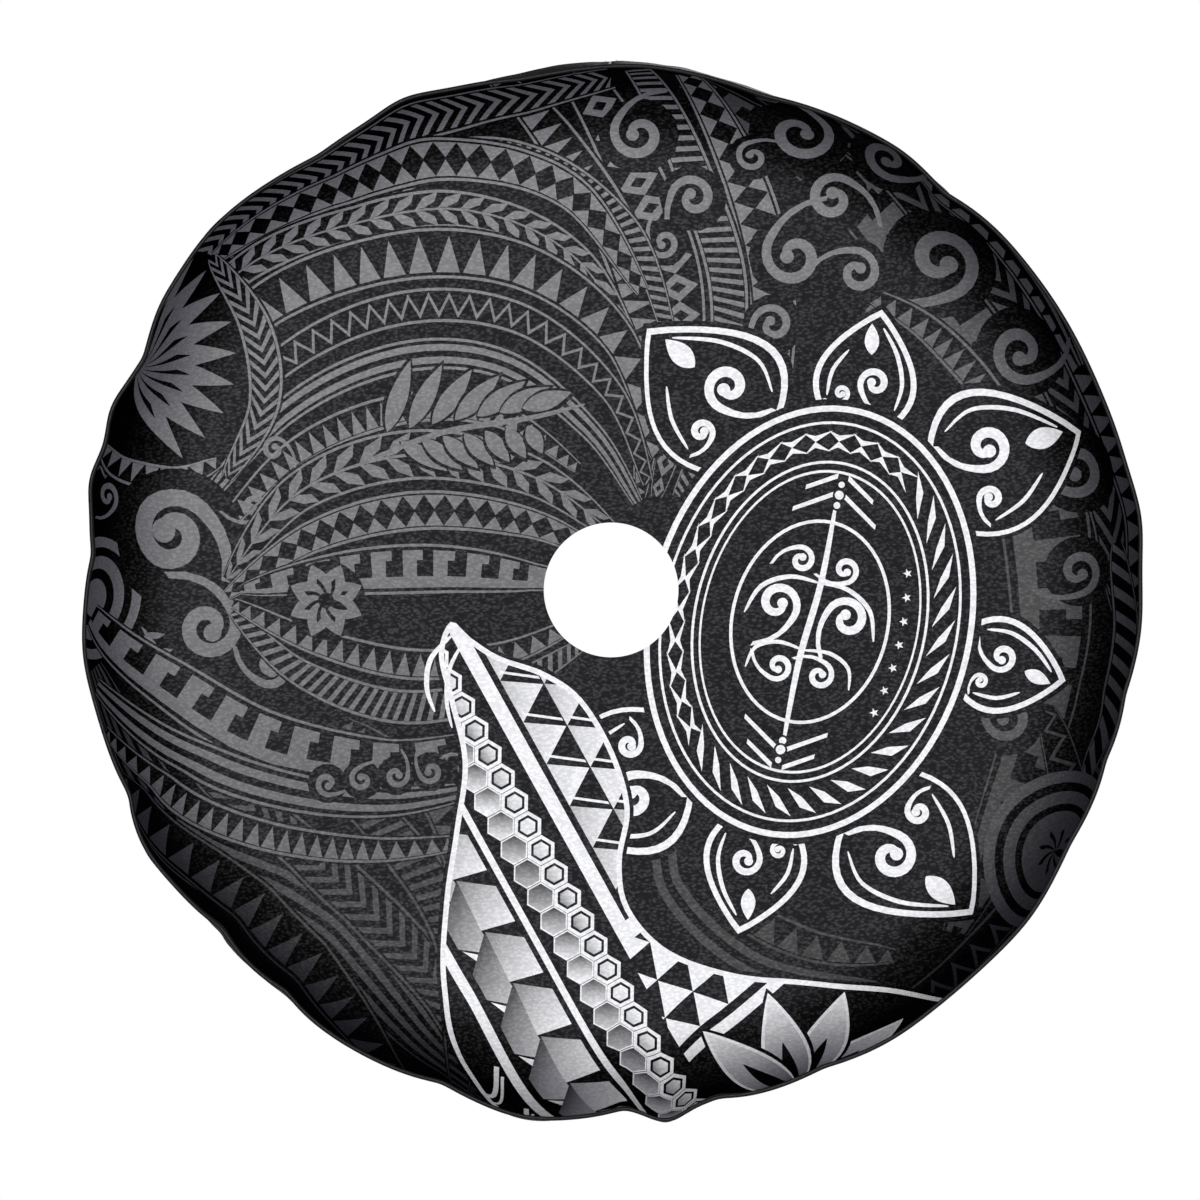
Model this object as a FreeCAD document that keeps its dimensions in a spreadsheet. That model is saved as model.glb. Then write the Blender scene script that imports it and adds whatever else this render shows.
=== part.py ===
import FreeCAD, Part
import Sketcher
import math
import os

# Sewn cover for an upright spare tyre, fitted from the front.
# Millimetres. +Z is up, the printed face looks along -Y and the wheel's axis is Y.
# The origin is on the wheel's axis, in the middle plane of the tyre.

DIMENSIONS = [
    ("cover_radius", 401.0),  # outside of the tread band
    ("face_depth", 127.0),  # from the middle plane to the printed face
    ("rear_depth", 128.0),  # from the middle plane to the rear lip
    ("camera_radius", 50.8),
    ("facing_radius", 72.0),
    ("vinyl_thickness", 1.2),
    ("lining_thickness", 1.5),
    ("roll_radius", 75.0),  # bend of the face over the tyre's shoulder
    ("roll_angle", 62.0),
    ("corner_setback", 2.2),  # how far both panels step in at the piped seam
    ("face_return", 0.6),
    ("allowance_width", 12.0),
    ("piping_radius", 1.8),
    ("piping_cord_radius", 1.1),
    ("piping_tape_thickness", 0.65),
    ("fold_gap", 0.1),  # between the two leaves of the piping cover
    ("binding_width", 5.5),
    ("tape_thickness", 0.5),
    ("thread_thickness", 0.5),
    ("rear_roll_radius", 60.0),
    ("hem_radius", 300.0),  # the open mouth at the rear
    ("casing_width", 24.0),
    ("casing_thickness", 0.8),
    ("band_edge_offset", 16.0),  # band's cut edge, out from the mouth
    ("elastic_inset", 1.2),
    ("elastic_width", 13.0),
    ("elastic_thickness", 0.8),
    ("splice_length", 24.0),
    ("joint_row_offset", 4.0),  # topstitch rows beside the band's joints
    ("joint_tape_angle", 3.2),
    ("label_length", 46.0),
    ("label_angle", 5.4),
    ("label_start", 18.0),
    ("label_thickness", 0.4),
]

doc = FreeCAD.newDocument("spare_tire_cover")
dims = doc.addObject("Spreadsheet::Sheet", "dims")
for row, (alias, size) in enumerate(DIMENSIONS, start=1):
    dims.set(f"A{row}", str(size))
    dims.setAlias(f"A{row}", alias)
doc.recompute()

# Places on the profile, as formulas of the sheet. Radius first, then the place along Y.
SEAM_RADIUS = "(dims.cover_radius - dims.corner_setback)"
FLAT_END = f"({SEAM_RADIUS} - dims.roll_radius * sin(dims.roll_angle))"
ROLL_CENTRE = "(dims.roll_radius - dims.face_depth)"
ROLL_END = f"({ROLL_CENTRE} - dims.roll_radius * cos(dims.roll_angle))"
FACE_FLANGE = f"({ROLL_END} + dims.face_return)"  # where the piping's flange starts
FLANGE_THICKNESS = "(2 * dims.piping_tape_thickness + dims.fold_gap)"
BAND_FLANGE = f"({FACE_FLANGE} + {FLANGE_THICKNESS})"
ALLOWANCE_END = f"({SEAM_RADIUS} - dims.allowance_width)"
FACE_INSIDE = "(dims.vinyl_thickness - dims.face_depth)"
LINING_INSIDE = f"({FACE_INSIDE} + dims.lining_thickness)"
BAND_INSIDE = "(dims.cover_radius - dims.vinyl_thickness)"
REAR_INSIDE = "(dims.rear_depth - dims.vinyl_thickness)"
REAR_ROLL_START = "(dims.rear_depth - dims.rear_roll_radius)"
REAR_ROLL_END = "(dims.cover_radius - dims.rear_roll_radius)"
CASING_END = "(dims.hem_radius + dims.casing_width)"
BAND_END = "(dims.hem_radius + dims.band_edge_offset)"
PIPING_CENTRE = f"({FACE_FLANGE} + {FLANGE_THICKNESS} / 2)"
PIPING_REACH = f"sqrt(dims.piping_radius ^ 2 - ({FLANGE_THICKNESS} / 2) ^ 2)"
PIPING_PLACE = f"({SEAM_RADIUS} + {PIPING_REACH})"
LINING_ANGLE = "(dims.roll_angle - 7)"

ACROSS = "XY_Plane"  # half section through the axis, to the side
UPRIGHT = "YZ_Plane"  # half section through the axis, upwards
FULL_TURN = 360.0
HALF_TURN = 180.0


def number(formula):
    return float(dims.evalExpression(formula))


def new_body(label):
    body = doc.addObject("PartDesign::Body", label)
    body.Label = label
    body.AllowCompound = True
    return body


def new_sketch(body, role, name):
    plane = next(f for f in body.Origin.OriginFeatures if f.Role == role)
    sketch = body.newObject("Sketcher::SketchObject", name)
    sketch.AttachmentSupport = [(plane, "")]
    sketch.MapMode = "FlatFace"
    return sketch


def bind(sketch, kind, geometry, place, formula):
    """Ties one size of the sketch to the sheet."""
    if kind == "Radius":
        index = sketch.addConstraint(Sketcher.Constraint(kind, geometry, number(formula)))
    else:
        index = sketch.addConstraint(Sketcher.Constraint(kind, -1, 1, geometry, place, number(formula)))
    name = f"size{index}"
    sketch.renameConstraint(index, name)
    sketch.setExpression(f"Constraints.{name}", formula)


def line(radius, along):
    return {"end": (radius, along)}


def bend(radius, along, centre, bend_radius, big=False):
    return {"end": (radius, along), "centre": centre, "bend": bend_radius, "big": big}


def draw(sketch, role, steps):
    """A closed outline. Each step runs from the step before it, and the first from the last."""

    def place(point):
        first, second = number(point[0]), number(point[1])
        if role == UPRIGHT:
            first, second = second, first
        return FreeCAD.Vector(first, second, 0)

    edges = []
    for index, step in enumerate(steps):
        start = place(steps[index - 1]["end"])
        end = place(step["end"])
        if "bend" not in step:
            geometry = sketch.addGeometry(Part.LineSegment(start, end), False)
            edges.append((geometry, 1, 2))
            continue
        centre = place(step["centre"])
        angles = [math.atan2(p.y - centre.y, p.x - centre.x) for p in (start, end)]
        forward = (angles[1] - angles[0]) % (2 * math.pi) < math.pi
        if step["big"]:
            forward = not forward
        if not forward:
            angles.reverse()
        circle = Part.Circle(centre, FreeCAD.Vector(0, 0, 1), number(step["bend"]))
        geometry = sketch.addGeometry(Part.ArcOfCircle(circle, *angles), False)
        edges.append((geometry, 1, 2) if forward else (geometry, 2, 1))
    for index, (geometry, start, end) in enumerate(edges):
        following = edges[(index + 1) % len(edges)]
        sketch.addConstraint(Sketcher.Constraint("Coincident", geometry, end, following[0], following[1]))
    for (geometry, start, end), step in zip(edges, steps):
        radius_kind, along_kind = "DistanceX", "DistanceY"
        if role == UPRIGHT:
            radius_kind, along_kind = along_kind, radius_kind
        bind(sketch, radius_kind, geometry, end, step["end"][0])
        bind(sketch, along_kind, geometry, end, step["end"][1])
        if "bend" in step:
            bind(sketch, "Radius", geometry, 0, step["bend"])


def rectangle(inner, outer, front, rear):
    return [line(inner, front), line(outer, front), line(outer, rear), line(inner, rear)]


def revolve(body, outlines, role=ACROSS, angle=FULL_TURN, midplane=False, backwards=False):
    """Turns the outlines about the wheel's axis."""
    sketch = new_sketch(body, role, f"{body.Label}_section")
    for outline in outlines:
        draw(sketch, role, outline)
    feature = body.newObject("PartDesign::Revolution", f"{body.Label}_turn")
    feature.Profile = sketch
    feature.ReferenceAxis = (sketch, ["V_Axis" if role == ACROSS else "H_Axis"])
    if isinstance(angle, str):
        feature.setExpression("Angle", angle)
    else:
        feature.Angle = angle
    feature.Midplane = midplane
    feature.Reversed = backwards
    body.Tip = feature
    return body


def spin(body, degrees):
    """Puts a piece elsewhere round the wheel's axis."""
    body.Placement = FreeCAD.Placement(
        FreeCAD.Vector(0, 0, 0), FreeCAD.Rotation(FreeCAD.Vector(0, 1, 0), degrees)
    )


def face_panel():
    inner_roll = "(dims.roll_radius - dims.vinyl_thickness)"
    drop = f"({ROLL_CENTRE} - {FACE_FLANGE} + dims.vinyl_thickness)"
    corner = f"({FLAT_END} + sqrt({inner_roll} ^ 2 - {drop} ^ 2))"
    centre = (FLAT_END, ROLL_CENTRE)
    outline = [
        line("dims.camera_radius", "-dims.face_depth"),
        line(FLAT_END, "-dims.face_depth"),
        bend(SEAM_RADIUS, ROLL_END, centre, "dims.roll_radius"),
        line(SEAM_RADIUS, FACE_FLANGE),
        line(ALLOWANCE_END, FACE_FLANGE),
        line(ALLOWANCE_END, f"{FACE_FLANGE} - dims.vinyl_thickness"),
        line(corner, f"{FACE_FLANGE} - dims.vinyl_thickness"),
        bend(FLAT_END, FACE_INSIDE, centre, inner_roll),
        line("dims.camera_radius", FACE_INSIDE),
    ]
    return revolve(new_body("face_panel"), [outline])


def face_lining():
    outer_roll = "(dims.roll_radius - dims.vinyl_thickness)"
    inner_roll = f"({outer_roll} - dims.lining_thickness)"
    centre = (FLAT_END, ROLL_CENTRE)

    def rim(roll):
        return (f"{FLAT_END} + {roll} * sin({LINING_ANGLE})", f"{ROLL_CENTRE} - {roll} * cos({LINING_ANGLE})")

    outline = [
        line("dims.facing_radius", FACE_INSIDE),
        line(FLAT_END, FACE_INSIDE),
        bend(*rim(outer_roll), centre, outer_roll),
        line(*rim(inner_roll)),
        bend(FLAT_END, LINING_INSIDE, centre, inner_roll),
        line("dims.facing_radius", LINING_INSIDE),
    ]
    return revolve(new_body("face_lining"), [outline])


def camera_hole_facing():
    ring = rectangle("dims.camera_radius", "dims.facing_radius", FACE_INSIDE, LINING_INSIDE)
    return revolve(new_body("camera_hole_facing"), [ring])


def piping_cord():
    """A round cord, all the way round the seam."""
    body = new_body("piping_cord")
    sketch = new_sketch(body, ACROSS, "piping_cord_section")
    centre = FreeCAD.Vector(number(PIPING_PLACE), number(PIPING_CENTRE), 0)
    circle = Part.Circle(centre, FreeCAD.Vector(0, 0, 1), number("dims.piping_cord_radius"))
    geometry = sketch.addGeometry(circle, False)
    bind(sketch, "DistanceX", geometry, 3, PIPING_PLACE)
    bind(sketch, "DistanceY", geometry, 3, PIPING_CENTRE)
    bind(sketch, "Radius", geometry, 0, "dims.piping_cord_radius")
    feature = body.newObject("PartDesign::Revolution", "piping_cord_turn")
    feature.Profile = sketch
    feature.ReferenceAxis = (sketch, ["V_Axis"])
    feature.Angle = FULL_TURN
    body.Tip = feature
    return body


def piping_cover():
    """A strip folded round the cord, with both leaves sewn into the seam."""
    centre = (PIPING_PLACE, PIPING_CENTRE)
    half_gap = "dims.fold_gap / 2"
    throat = f"{PIPING_PLACE} - sqrt(dims.piping_cord_radius ^ 2 - ({half_gap}) ^ 2)"
    front_leaf = f"{PIPING_CENTRE} - {half_gap}"
    rear_leaf = f"{PIPING_CENTRE} + {half_gap}"
    outline = [
        line(ALLOWANCE_END, FACE_FLANGE),
        line(SEAM_RADIUS, FACE_FLANGE),
        bend(SEAM_RADIUS, BAND_FLANGE, centre, "dims.piping_radius", big=True),
        line(ALLOWANCE_END, BAND_FLANGE),
        line(ALLOWANCE_END, rear_leaf),
        line(throat, rear_leaf),
        bend(throat, front_leaf, centre, "dims.piping_cord_radius", big=True),
        line(ALLOWANCE_END, front_leaf),
    ]
    return revolve(new_body("piping_cover"), [outline])


def seam_rows(label, inner, clear):
    """One row of thread on each side of the seam's layers."""
    outer = f"{inner} + dims.thread_thickness"
    front = f"({FACE_FLANGE} - dims.vinyl_thickness - {clear})"
    rear = f"({BAND_FLANGE} + dims.vinyl_thickness + {clear})"
    rows = [
        rectangle(inner, outer, f"{front} - dims.thread_thickness", front),
        rectangle(inner, outer, rear, f"{rear} + dims.thread_thickness"),
    ]
    return revolve(new_body(label), rows)


def face_seam_thread():
    return seam_rows("face_seam_thread", f"{ALLOWANCE_END} + dims.allowance_width * 0.72", "0")


def binding_thread():
    return seam_rows("binding_thread", f"{ALLOWANCE_END} + dims.binding_width * 0.6", "dims.tape_thickness")


def face_seam_binding():
    """Tape folded over the raw edges inside the piped seam."""
    front = f"({FACE_FLANGE} - dims.vinyl_thickness)"
    rear = f"({BAND_FLANGE} + dims.vinyl_thickness)"
    reach = f"({ALLOWANCE_END} + dims.binding_width)"
    outline = [
        line(f"{ALLOWANCE_END} - dims.tape_thickness", f"{front} - dims.tape_thickness"),
        line(reach, f"{front} - dims.tape_thickness"),
        line(reach, front),
        line(ALLOWANCE_END, front),
        line(ALLOWANCE_END, rear),
        line(reach, rear),
        line(reach, f"{rear} + dims.tape_thickness"),
        line(f"{ALLOWANCE_END} - dims.tape_thickness", f"{rear} + dims.tape_thickness"),
    ]
    return revolve(new_body("face_seam_binding"), [outline])


def band_panel(label, backwards):
    """Half of the band: over the tread, round the rear shoulder and in to the hem."""
    centre = (REAR_ROLL_END, REAR_ROLL_START)
    outline = [
        line(ALLOWANCE_END, BAND_FLANGE),
        line(SEAM_RADIUS, BAND_FLANGE),
        line("dims.cover_radius", f"{BAND_FLANGE} + dims.corner_setback"),
        line("dims.cover_radius", REAR_ROLL_START),
        bend(REAR_ROLL_END, "dims.rear_depth", centre, "dims.rear_roll_radius"),
        line(BAND_END, "dims.rear_depth"),
        line(BAND_END, REAR_INSIDE),
        line(REAR_ROLL_END, REAR_INSIDE),
        bend(BAND_INSIDE, REAR_ROLL_START, centre, "(dims.rear_roll_radius - dims.vinyl_thickness)"),
        line(BAND_INSIDE, f"{BAND_FLANGE} + dims.vinyl_thickness"),
        line(ALLOWANCE_END, f"{BAND_FLANGE} + dims.vinyl_thickness"),
    ]
    return revolve(new_body(label), [outline], UPRIGHT, HALF_TURN, backwards=backwards)


def lining_strip(outer_shift, thickness, start, end):
    """A thin strip along the band's section: a shift outwards from the band's inner skin."""
    centre = (REAR_ROLL_END, REAR_ROLL_START)
    outer_roll = f"(dims.rear_roll_radius - dims.vinyl_thickness + {outer_shift})"
    inner_roll = f"({outer_roll} - {thickness})"
    outer = f"({BAND_INSIDE} + {outer_shift})"
    rear = f"({REAR_INSIDE} + {outer_shift})"
    return [
        line(outer, start),
        line(outer, REAR_ROLL_START),
        bend(REAR_ROLL_END, rear, centre, outer_roll),
        line(end, rear),
        line(end, f"{rear} - {thickness}"),
        line(REAR_ROLL_END, f"{rear} - {thickness}"),
        bend(f"{outer} - {thickness}", REAR_ROLL_START, centre, inner_roll),
        line(f"{outer} - {thickness}", start),
    ]


def band_joint_tape(label, degrees):
    """Tape inside the band, over the joint of its two halves."""
    start = f"({BAND_FLANGE} + dims.vinyl_thickness + 2 * dims.tape_thickness)"
    strip = lining_strip("0", "dims.tape_thickness", start, f"({CASING_END} + dims.tape_thickness)")
    body = revolve(new_body(label), [strip], UPRIGHT, "dims.joint_tape_angle", midplane=True)
    spin(body, degrees)
    return body


def band_joint_thread(label, degrees):
    """Two rows of topstitching on the outside, one each side of the joint."""
    body = new_body(label)
    sketch = new_sketch(body, UPRIGHT, f"{label}_section")
    start = f"({BAND_FLANGE} + dims.corner_setback)"
    shift = "(dims.vinyl_thickness + dims.thread_thickness)"
    draw(sketch, UPRIGHT, lining_strip(shift, "dims.thread_thickness", start, f"({CASING_END} + 1)"))
    sketch.AttachmentOffset = FreeCAD.Placement(FreeCAD.Vector(0, 0, 1), FreeCAD.Rotation())
    sketch.setExpression("AttachmentOffset.Base.z", "dims.joint_row_offset")
    row = body.newObject("PartDesign::Pad", f"{label}_row")
    row.Profile = sketch
    row.setExpression("Length", "dims.thread_thickness")
    body.Tip = row
    doc.recompute()
    plane = next(f for f in body.Origin.OriginFeatures if f.Role == UPRIGHT)
    pair = body.newObject("PartDesign::Mirrored", f"{label}_pair")
    pair.Originals = [row]
    pair.MirrorPlane = (plane, [""])
    body.Tip = pair
    spin(body, degrees)
    return body


def hem_casing():
    """Tape folded round the rear mouth: a channel for the elastic, sewn over the band's edge."""
    inner_face = f"({REAR_INSIDE} - dims.casing_thickness)"
    outer_face = "(dims.rear_depth + dims.casing_thickness)"
    fold = "(dims.hem_radius + dims.casing_thickness)"
    outline = [
        line("dims.hem_radius", inner_face),
        line(CASING_END, inner_face),
        line(CASING_END, REAR_INSIDE),
        line(fold, REAR_INSIDE),
        line(fold, "dims.rear_depth"),
        line(CASING_END, "dims.rear_depth"),
        line(CASING_END, outer_face),
        line("dims.hem_radius", outer_face),
    ]
    return revolve(new_body("hem_casing"), [outline])


def hem_thread(label, offset):
    """One row of thread through the casing, seen on both of its sides."""
    inner = f"(dims.hem_radius + {offset})"
    outer = f"({inner} + dims.thread_thickness)"
    inside = f"({REAR_INSIDE} - dims.casing_thickness)"
    outside = "(dims.rear_depth + dims.casing_thickness)"
    rows = [
        rectangle(inner, outer, f"{inside} - dims.thread_thickness", inside),
        rectangle(inner, outer, outside, f"{outside} + dims.thread_thickness"),
    ]
    return revolve(new_body(label), rows)


def hem_elastic():
    inner = "(dims.hem_radius + dims.elastic_inset)"
    outer = f"({inner} + dims.elastic_width)"
    ring = rectangle(inner, outer, REAR_INSIDE, f"({REAR_INSIDE} + dims.elastic_thickness)")
    return revolve(new_body("hem_elastic"), [ring])


def elastic_splice_thread():
    """Zigzag stitching over the elastic's joint, at the bottom of the loop."""
    turns = 6
    thread = number("dims.thread_thickness")
    pitch = number("dims.splice_length") / turns
    height = number("dims.elastic_width") - 3 * thread
    middle = number("dims.hem_radius + dims.elastic_inset + dims.elastic_width / 2")
    left = -number("dims.splice_length") / 2
    low = [(left + i * pitch, (i % 2) * height - height / 2 - middle) for i in range(turns + 1)]
    high = [(x, z + thread * 1.6) for x, z in reversed(low)]
    depth = number(f"{REAR_INSIDE} + dims.elastic_thickness")
    corners = [FreeCAD.Vector(x, depth, z) for x, z in low + high]
    flat = Part.Face(Part.makePolygon(corners + corners[:1]))
    room = number("dims.vinyl_thickness - dims.elastic_thickness")
    feature = doc.addObject("Part::Feature", "elastic_splice_thread")
    feature.Label = "elastic_splice_thread"
    feature.Shape = flat.extrude(FreeCAD.Vector(0, room * 0.8, 0))
    feature.Placement = FreeCAD.Placement()
    return feature


def care_label():
    """Blank label lying on the band's inner skin at the bottom, one edge under the joint's tape."""
    outer = BAND_INSIDE
    plate = rectangle(
        f"{outer} - dims.label_thickness", outer, "dims.label_start", "(dims.label_start + dims.label_length)"
    )
    body = revolve(new_body("care_label"), [plate], UPRIGHT, "dims.label_angle", midplane=True)
    beside = (number("dims.joint_tape_angle") + number("dims.label_angle")) / 2
    spin(body, HALF_TURN + beside + 0.05)
    return body


def check(pieces):
    doc.recompute()
    for item in doc.Objects:
        if "Invalid" in item.State or "Error" in item.State:
            raise RuntimeError(f"{item.Label} did not build: {item.State}")
    for piece in pieces:
        if piece.Shape.isNull() or not piece.Shape.isValid() or not piece.Shape.Solids:
            raise RuntimeError(f"{piece.Label} is not a valid solid")


def write(pieces):
    os.makedirs("parts", exist_ok=True)
    for piece in pieces:
        piece.Shape.exportStep(f"parts/{piece.Label}.step")
        box = piece.Shape.BoundBox
        print(
            f"{piece.Label}: {len(piece.Shape.Solids)} solid(s), {piece.Shape.Volume / 1000:.1f} cm3,"
            f" y {box.YMin:.1f} to {box.YMax:.1f}, z {box.ZMin:.1f} to {box.ZMax:.1f}"
        )


parts = [
    face_panel(),
    face_lining(),
    camera_hole_facing(),
    piping_cover(),
    piping_cord(),
    face_seam_thread(),
    face_seam_binding(),
    binding_thread(),
    band_panel("band_panel_left", backwards=False),
    band_panel("band_panel_right", backwards=True),
    band_joint_tape("band_joint_tape_top", 0),
    band_joint_tape("band_joint_tape_bottom", HALF_TURN),
    band_joint_thread("band_joint_thread_top", 0),
    band_joint_thread("band_joint_thread_bottom", HALF_TURN),
    hem_casing(),
    hem_thread("hem_thread_inner", "(dims.band_edge_offset + 1.5)"),
    hem_thread("hem_thread_outer", "(dims.casing_width - 2)"),
    hem_elastic(),
    elastic_splice_thread(),
    care_label(),
]
check(parts)
write(parts)
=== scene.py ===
import bpy
from math import asin, atan2, cos, degrees, dist, exp, hypot, pi, radians, sin, sqrt, tau
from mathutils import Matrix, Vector, noise
from mathutils.geometry import delaunay_2d_cdt


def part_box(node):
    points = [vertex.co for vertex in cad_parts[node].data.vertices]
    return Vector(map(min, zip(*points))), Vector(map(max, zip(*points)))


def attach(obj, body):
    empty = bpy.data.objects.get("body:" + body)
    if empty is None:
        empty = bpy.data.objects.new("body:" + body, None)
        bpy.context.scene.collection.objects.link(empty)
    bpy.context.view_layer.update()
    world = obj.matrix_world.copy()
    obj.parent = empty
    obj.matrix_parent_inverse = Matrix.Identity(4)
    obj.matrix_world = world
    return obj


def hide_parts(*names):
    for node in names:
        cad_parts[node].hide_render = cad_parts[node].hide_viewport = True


# A sewn spare-tyre cover, looked at along +Y. Lengths are metres; the flat print is drawn in mm.
# Angles go anticlockwise round the wheel's axis from +X, as seen from the front.
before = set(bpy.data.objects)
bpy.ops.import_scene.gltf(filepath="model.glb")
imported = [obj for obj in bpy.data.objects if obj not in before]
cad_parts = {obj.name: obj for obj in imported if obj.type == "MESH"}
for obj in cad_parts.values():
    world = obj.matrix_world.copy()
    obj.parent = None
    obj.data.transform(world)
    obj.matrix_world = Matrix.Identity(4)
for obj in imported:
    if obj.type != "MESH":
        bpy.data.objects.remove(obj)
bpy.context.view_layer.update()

MM = 0.001
BODY = "root"

# ---------------------------------------------------------------- sizes, read from the frame


def radii(node):
    """Least and greatest distance of a node's points from the wheel's axis."""
    reach = [hypot(v.co.x, v.co.z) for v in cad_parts[node].data.vertices]
    return min(reach), max(reach)


BAND_R = radii("band_panel_left")[1]
CAMERA_R, FACING_R = radii("camera_hole_facing")
HEM_R, CASING_R = radii("hem_casing")
BAND_EDGE_R = HEM_R + 16 * MM
FACE_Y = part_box("face_panel")[0].y
REAR_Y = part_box("band_panel_left")[1].y
SEAM_Y = (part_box("piping_cord")[0].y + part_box("piping_cord")[1].y) / 2
ALLOWANCE_R = radii("face_seam_binding")[0]
VINYL = 1.2 * MM
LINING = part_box("camera_hole_facing")[1].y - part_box("camera_hole_facing")[0].y
FLANGE_HALF = 0.7 * MM  # half of the piping's flange, which lies between face and band
CORNER = 2.2 * MM  # the band bends this far out and back from the seam before the tread starts
ROLL_R = 75 * MM
ROLL_ANGLE = radians(62)
SEAM_R = BAND_R - CORNER
FLAT_R = SEAM_R - ROLL_R * sin(ROLL_ANGLE)
FACE_REACH = FLAT_R + ROLL_R * ROLL_ANGLE  # length of the face from its centre to the seam
ALLOWANCE = SEAM_R - ALLOWANCE_R
REAR_ROLL_R = 60 * MM
RIM_Y = FACE_Y + ROLL_R * (1 - cos(ROLL_ANGLE))
TREAD_Y = SEAM_Y + FLANGE_HALF + CORNER

# The band's skin, by length from the seam: corner, tread, rear roll and lip.
CORNER_V = 3.1 * MM
TREAD_V = CORNER_V + (REAR_Y - REAR_ROLL_R) - TREAD_Y
ROLL_V = TREAD_V + REAR_ROLL_R * pi / 2
BAND_V = ROLL_V + (BAND_R - REAR_ROLL_R) - BAND_EDGE_R
HEM_V = BAND_V + BAND_EDGE_R - HEM_R
CASING_V = BAND_V - (CASING_R - BAND_EDGE_R)

# ---------------------------------------------------------------- the worn shape

# Where the seam is pinched in or bulges out: angle in degrees, depth in mm, half width in degrees.
PINCHES = [
    (8, -4.2, 4), (17, -0.8, 4), (29, -1.2, 6), (56, -1.2, 3), (50, 6.0, 4), (73, 7.0, 7), (87, -2.2, 6),
    (100, 2.5, 4), (113, -4.0, 3), (124, 5.0, 5), (138, -7.5, 8), (147.5, -2.0, 3), (153.5, 6.5, 3.5),
    (160, -4.0, 2.5), (164, 0.5, 2), (168, -4.0, 2.5), (176, 8.0, 4), (187, -3.0, 4), (202.5, 4.0, 3),
    (203.5, 1.5, 1.2), (209, -4.0, 4), (221, 10.5, 4.5), (231, 7.5, 3.5), (251, 7.0, 4), (261, -4.5, 5),
    (271.5, 7.0, 3), (276, -8.0, 2.2), (282, 8.0, 4), (294, 4.5, 4), (303, -1.5, 4), (320, -2.0, 5),
    (331, 2.5, 4), (341, 5.0, 4), (348.5, 3.0, 3), (356, -1.6, 4),
]
TABLE = 1440  # steps of the tables round the ring
CROWN_DEPTH = 4 * MM  # how far the seam sits in at the top
CREASE_SHARE = 0.9  # of a pinch's depth, that shows as a crease beside the seam
JOINT_GROOVE = 0.3 * MM
PLEATS = 84


def smooth(x):
    x = min(max(x, 0.0), 1.0)
    return x * x * (3 - 2 * x)


def at(radius, y, angle):
    return Vector((radius * cos(angle), y, radius * sin(angle)))


def turn_gap(a, b):
    """Angle from b to a, in degrees from -180 to 180."""
    return (a - b + 180) % 360 - 180


def pinch_sum(turn, widen):
    total = 0.0
    for middle, depth, width in PINCHES:
        gap = turn_gap(turn, middle) / (width * widen)
        total += depth * (exp(-sqrt(gap * gap + 0.05)) if depth > 0 else exp(-0.7 * gap * gap))
    return total * MM


def crown(turn):
    """Along the top and the upper right the seam sits further in, so the band shows past it."""
    top = exp(-((turn_gap(turn, 92) / 17) ** 2))
    right = exp(-((turn_gap(turn, 38) / 30) ** 2))
    return CROWN_DEPTH * top + 1.0 * MM * right


def ripple(angle, period, seed):
    """Smooth noise round the ring, from about -1 to 1, that meets itself."""
    place = Vector((cos(angle), sin(angle), 0.0)) * period
    return noise.noise(place + Vector((seed * 7.3, seed * 3.1, seed * 1.7))) * 1.6


def ring_table(value):
    return [value(tau * i / TABLE) for i in range(TABLE)]


def look_up(table, angle):
    place = (angle / tau) % 1.0 * TABLE
    low = int(place)
    share = place - low
    return table[low % TABLE] * (1 - share) + table[(low + 1) % TABLE] * share


CROWN = ring_table(lambda a: crown(degrees(a)))
PULL = ring_table(lambda a: pinch_sum(degrees(a), 1.0) + look_up(CROWN, a))
CREASE = ring_table(lambda a: pinch_sum(degrees(a), 1.0) - 0.45 * pinch_sum(degrees(a), 3.0))
SEAM_OUT = ring_table(lambda a: SEAM_R - look_up(PULL, a) + 0.9 * MM * ripple(a, 5, 1))
SEAM_BACK = ring_table(lambda a: SEAM_Y + 2.2 * MM * ripple(a, 3, 2) + 0.35 * look_up(PULL, a))
PHASE = ring_table(lambda a: 2.4 * ripple(a, 4, 11) + 0.8 * ripple(a, 13, 12))
FULLNESS = ring_table(lambda a: 0.85 + 0.35 * ripple(a, 9, 13))


def seam(angle):
    """(radius, y) of the seam line."""
    return look_up(SEAM_OUT, angle), look_up(SEAM_BACK, angle)


def face_point(reach, angle, inside=0.0):
    """A point of the face: a length out from its centre along the skin, and a depth under it."""
    seam_r, seam_y = seam(angle)
    if reach > FACE_REACH + 0.05 * MM:
        return at(seam_r - (reach - FACE_REACH), seam_y - FLANGE_HALF - inside, angle)
    bend = max(reach - FLAT_R, 0.0) / ROLL_R
    radius = min(reach, FLAT_R) + ROLL_R * sin(bend)
    y = FACE_Y + ROLL_R * (1 - cos(bend))
    share = reach / FACE_REACH
    follow = smooth((share - 0.62) / 0.38) ** 1.6
    radius += (seam_r - SEAM_R) * follow
    y += (seam_y - 2 * FLANGE_HALF - RIM_Y) * follow
    fold = smooth((share - 0.72) / 0.24) * (1 - 0.6 * smooth((share - 0.93) / 0.07))
    y += CREASE_SHARE * look_up(CREASE, angle) * fold
    calm = smooth((reach - 0.095) / 0.08)
    flat = Vector((radius * cos(angle), radius * sin(angle), 0.3))
    y += calm * (0.9 * noise.noise(flat * 7.0) + 0.45 * noise.noise(flat * 17.0)) * MM
    return at(radius - inside * sin(bend), y + inside * cos(bend), angle)


def pleat(angle, share):
    """Folds of the gathered hem; share 1 is every fold, 2 every second one, and so on."""
    phase = (PLEATS / share) * angle + look_up(PHASE, angle) * (1 + share * 0.4) + share
    return (sin(phase) + 0.22 * sin(2 * phase + 0.6)) * look_up(FULLNESS, angle + share)


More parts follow.
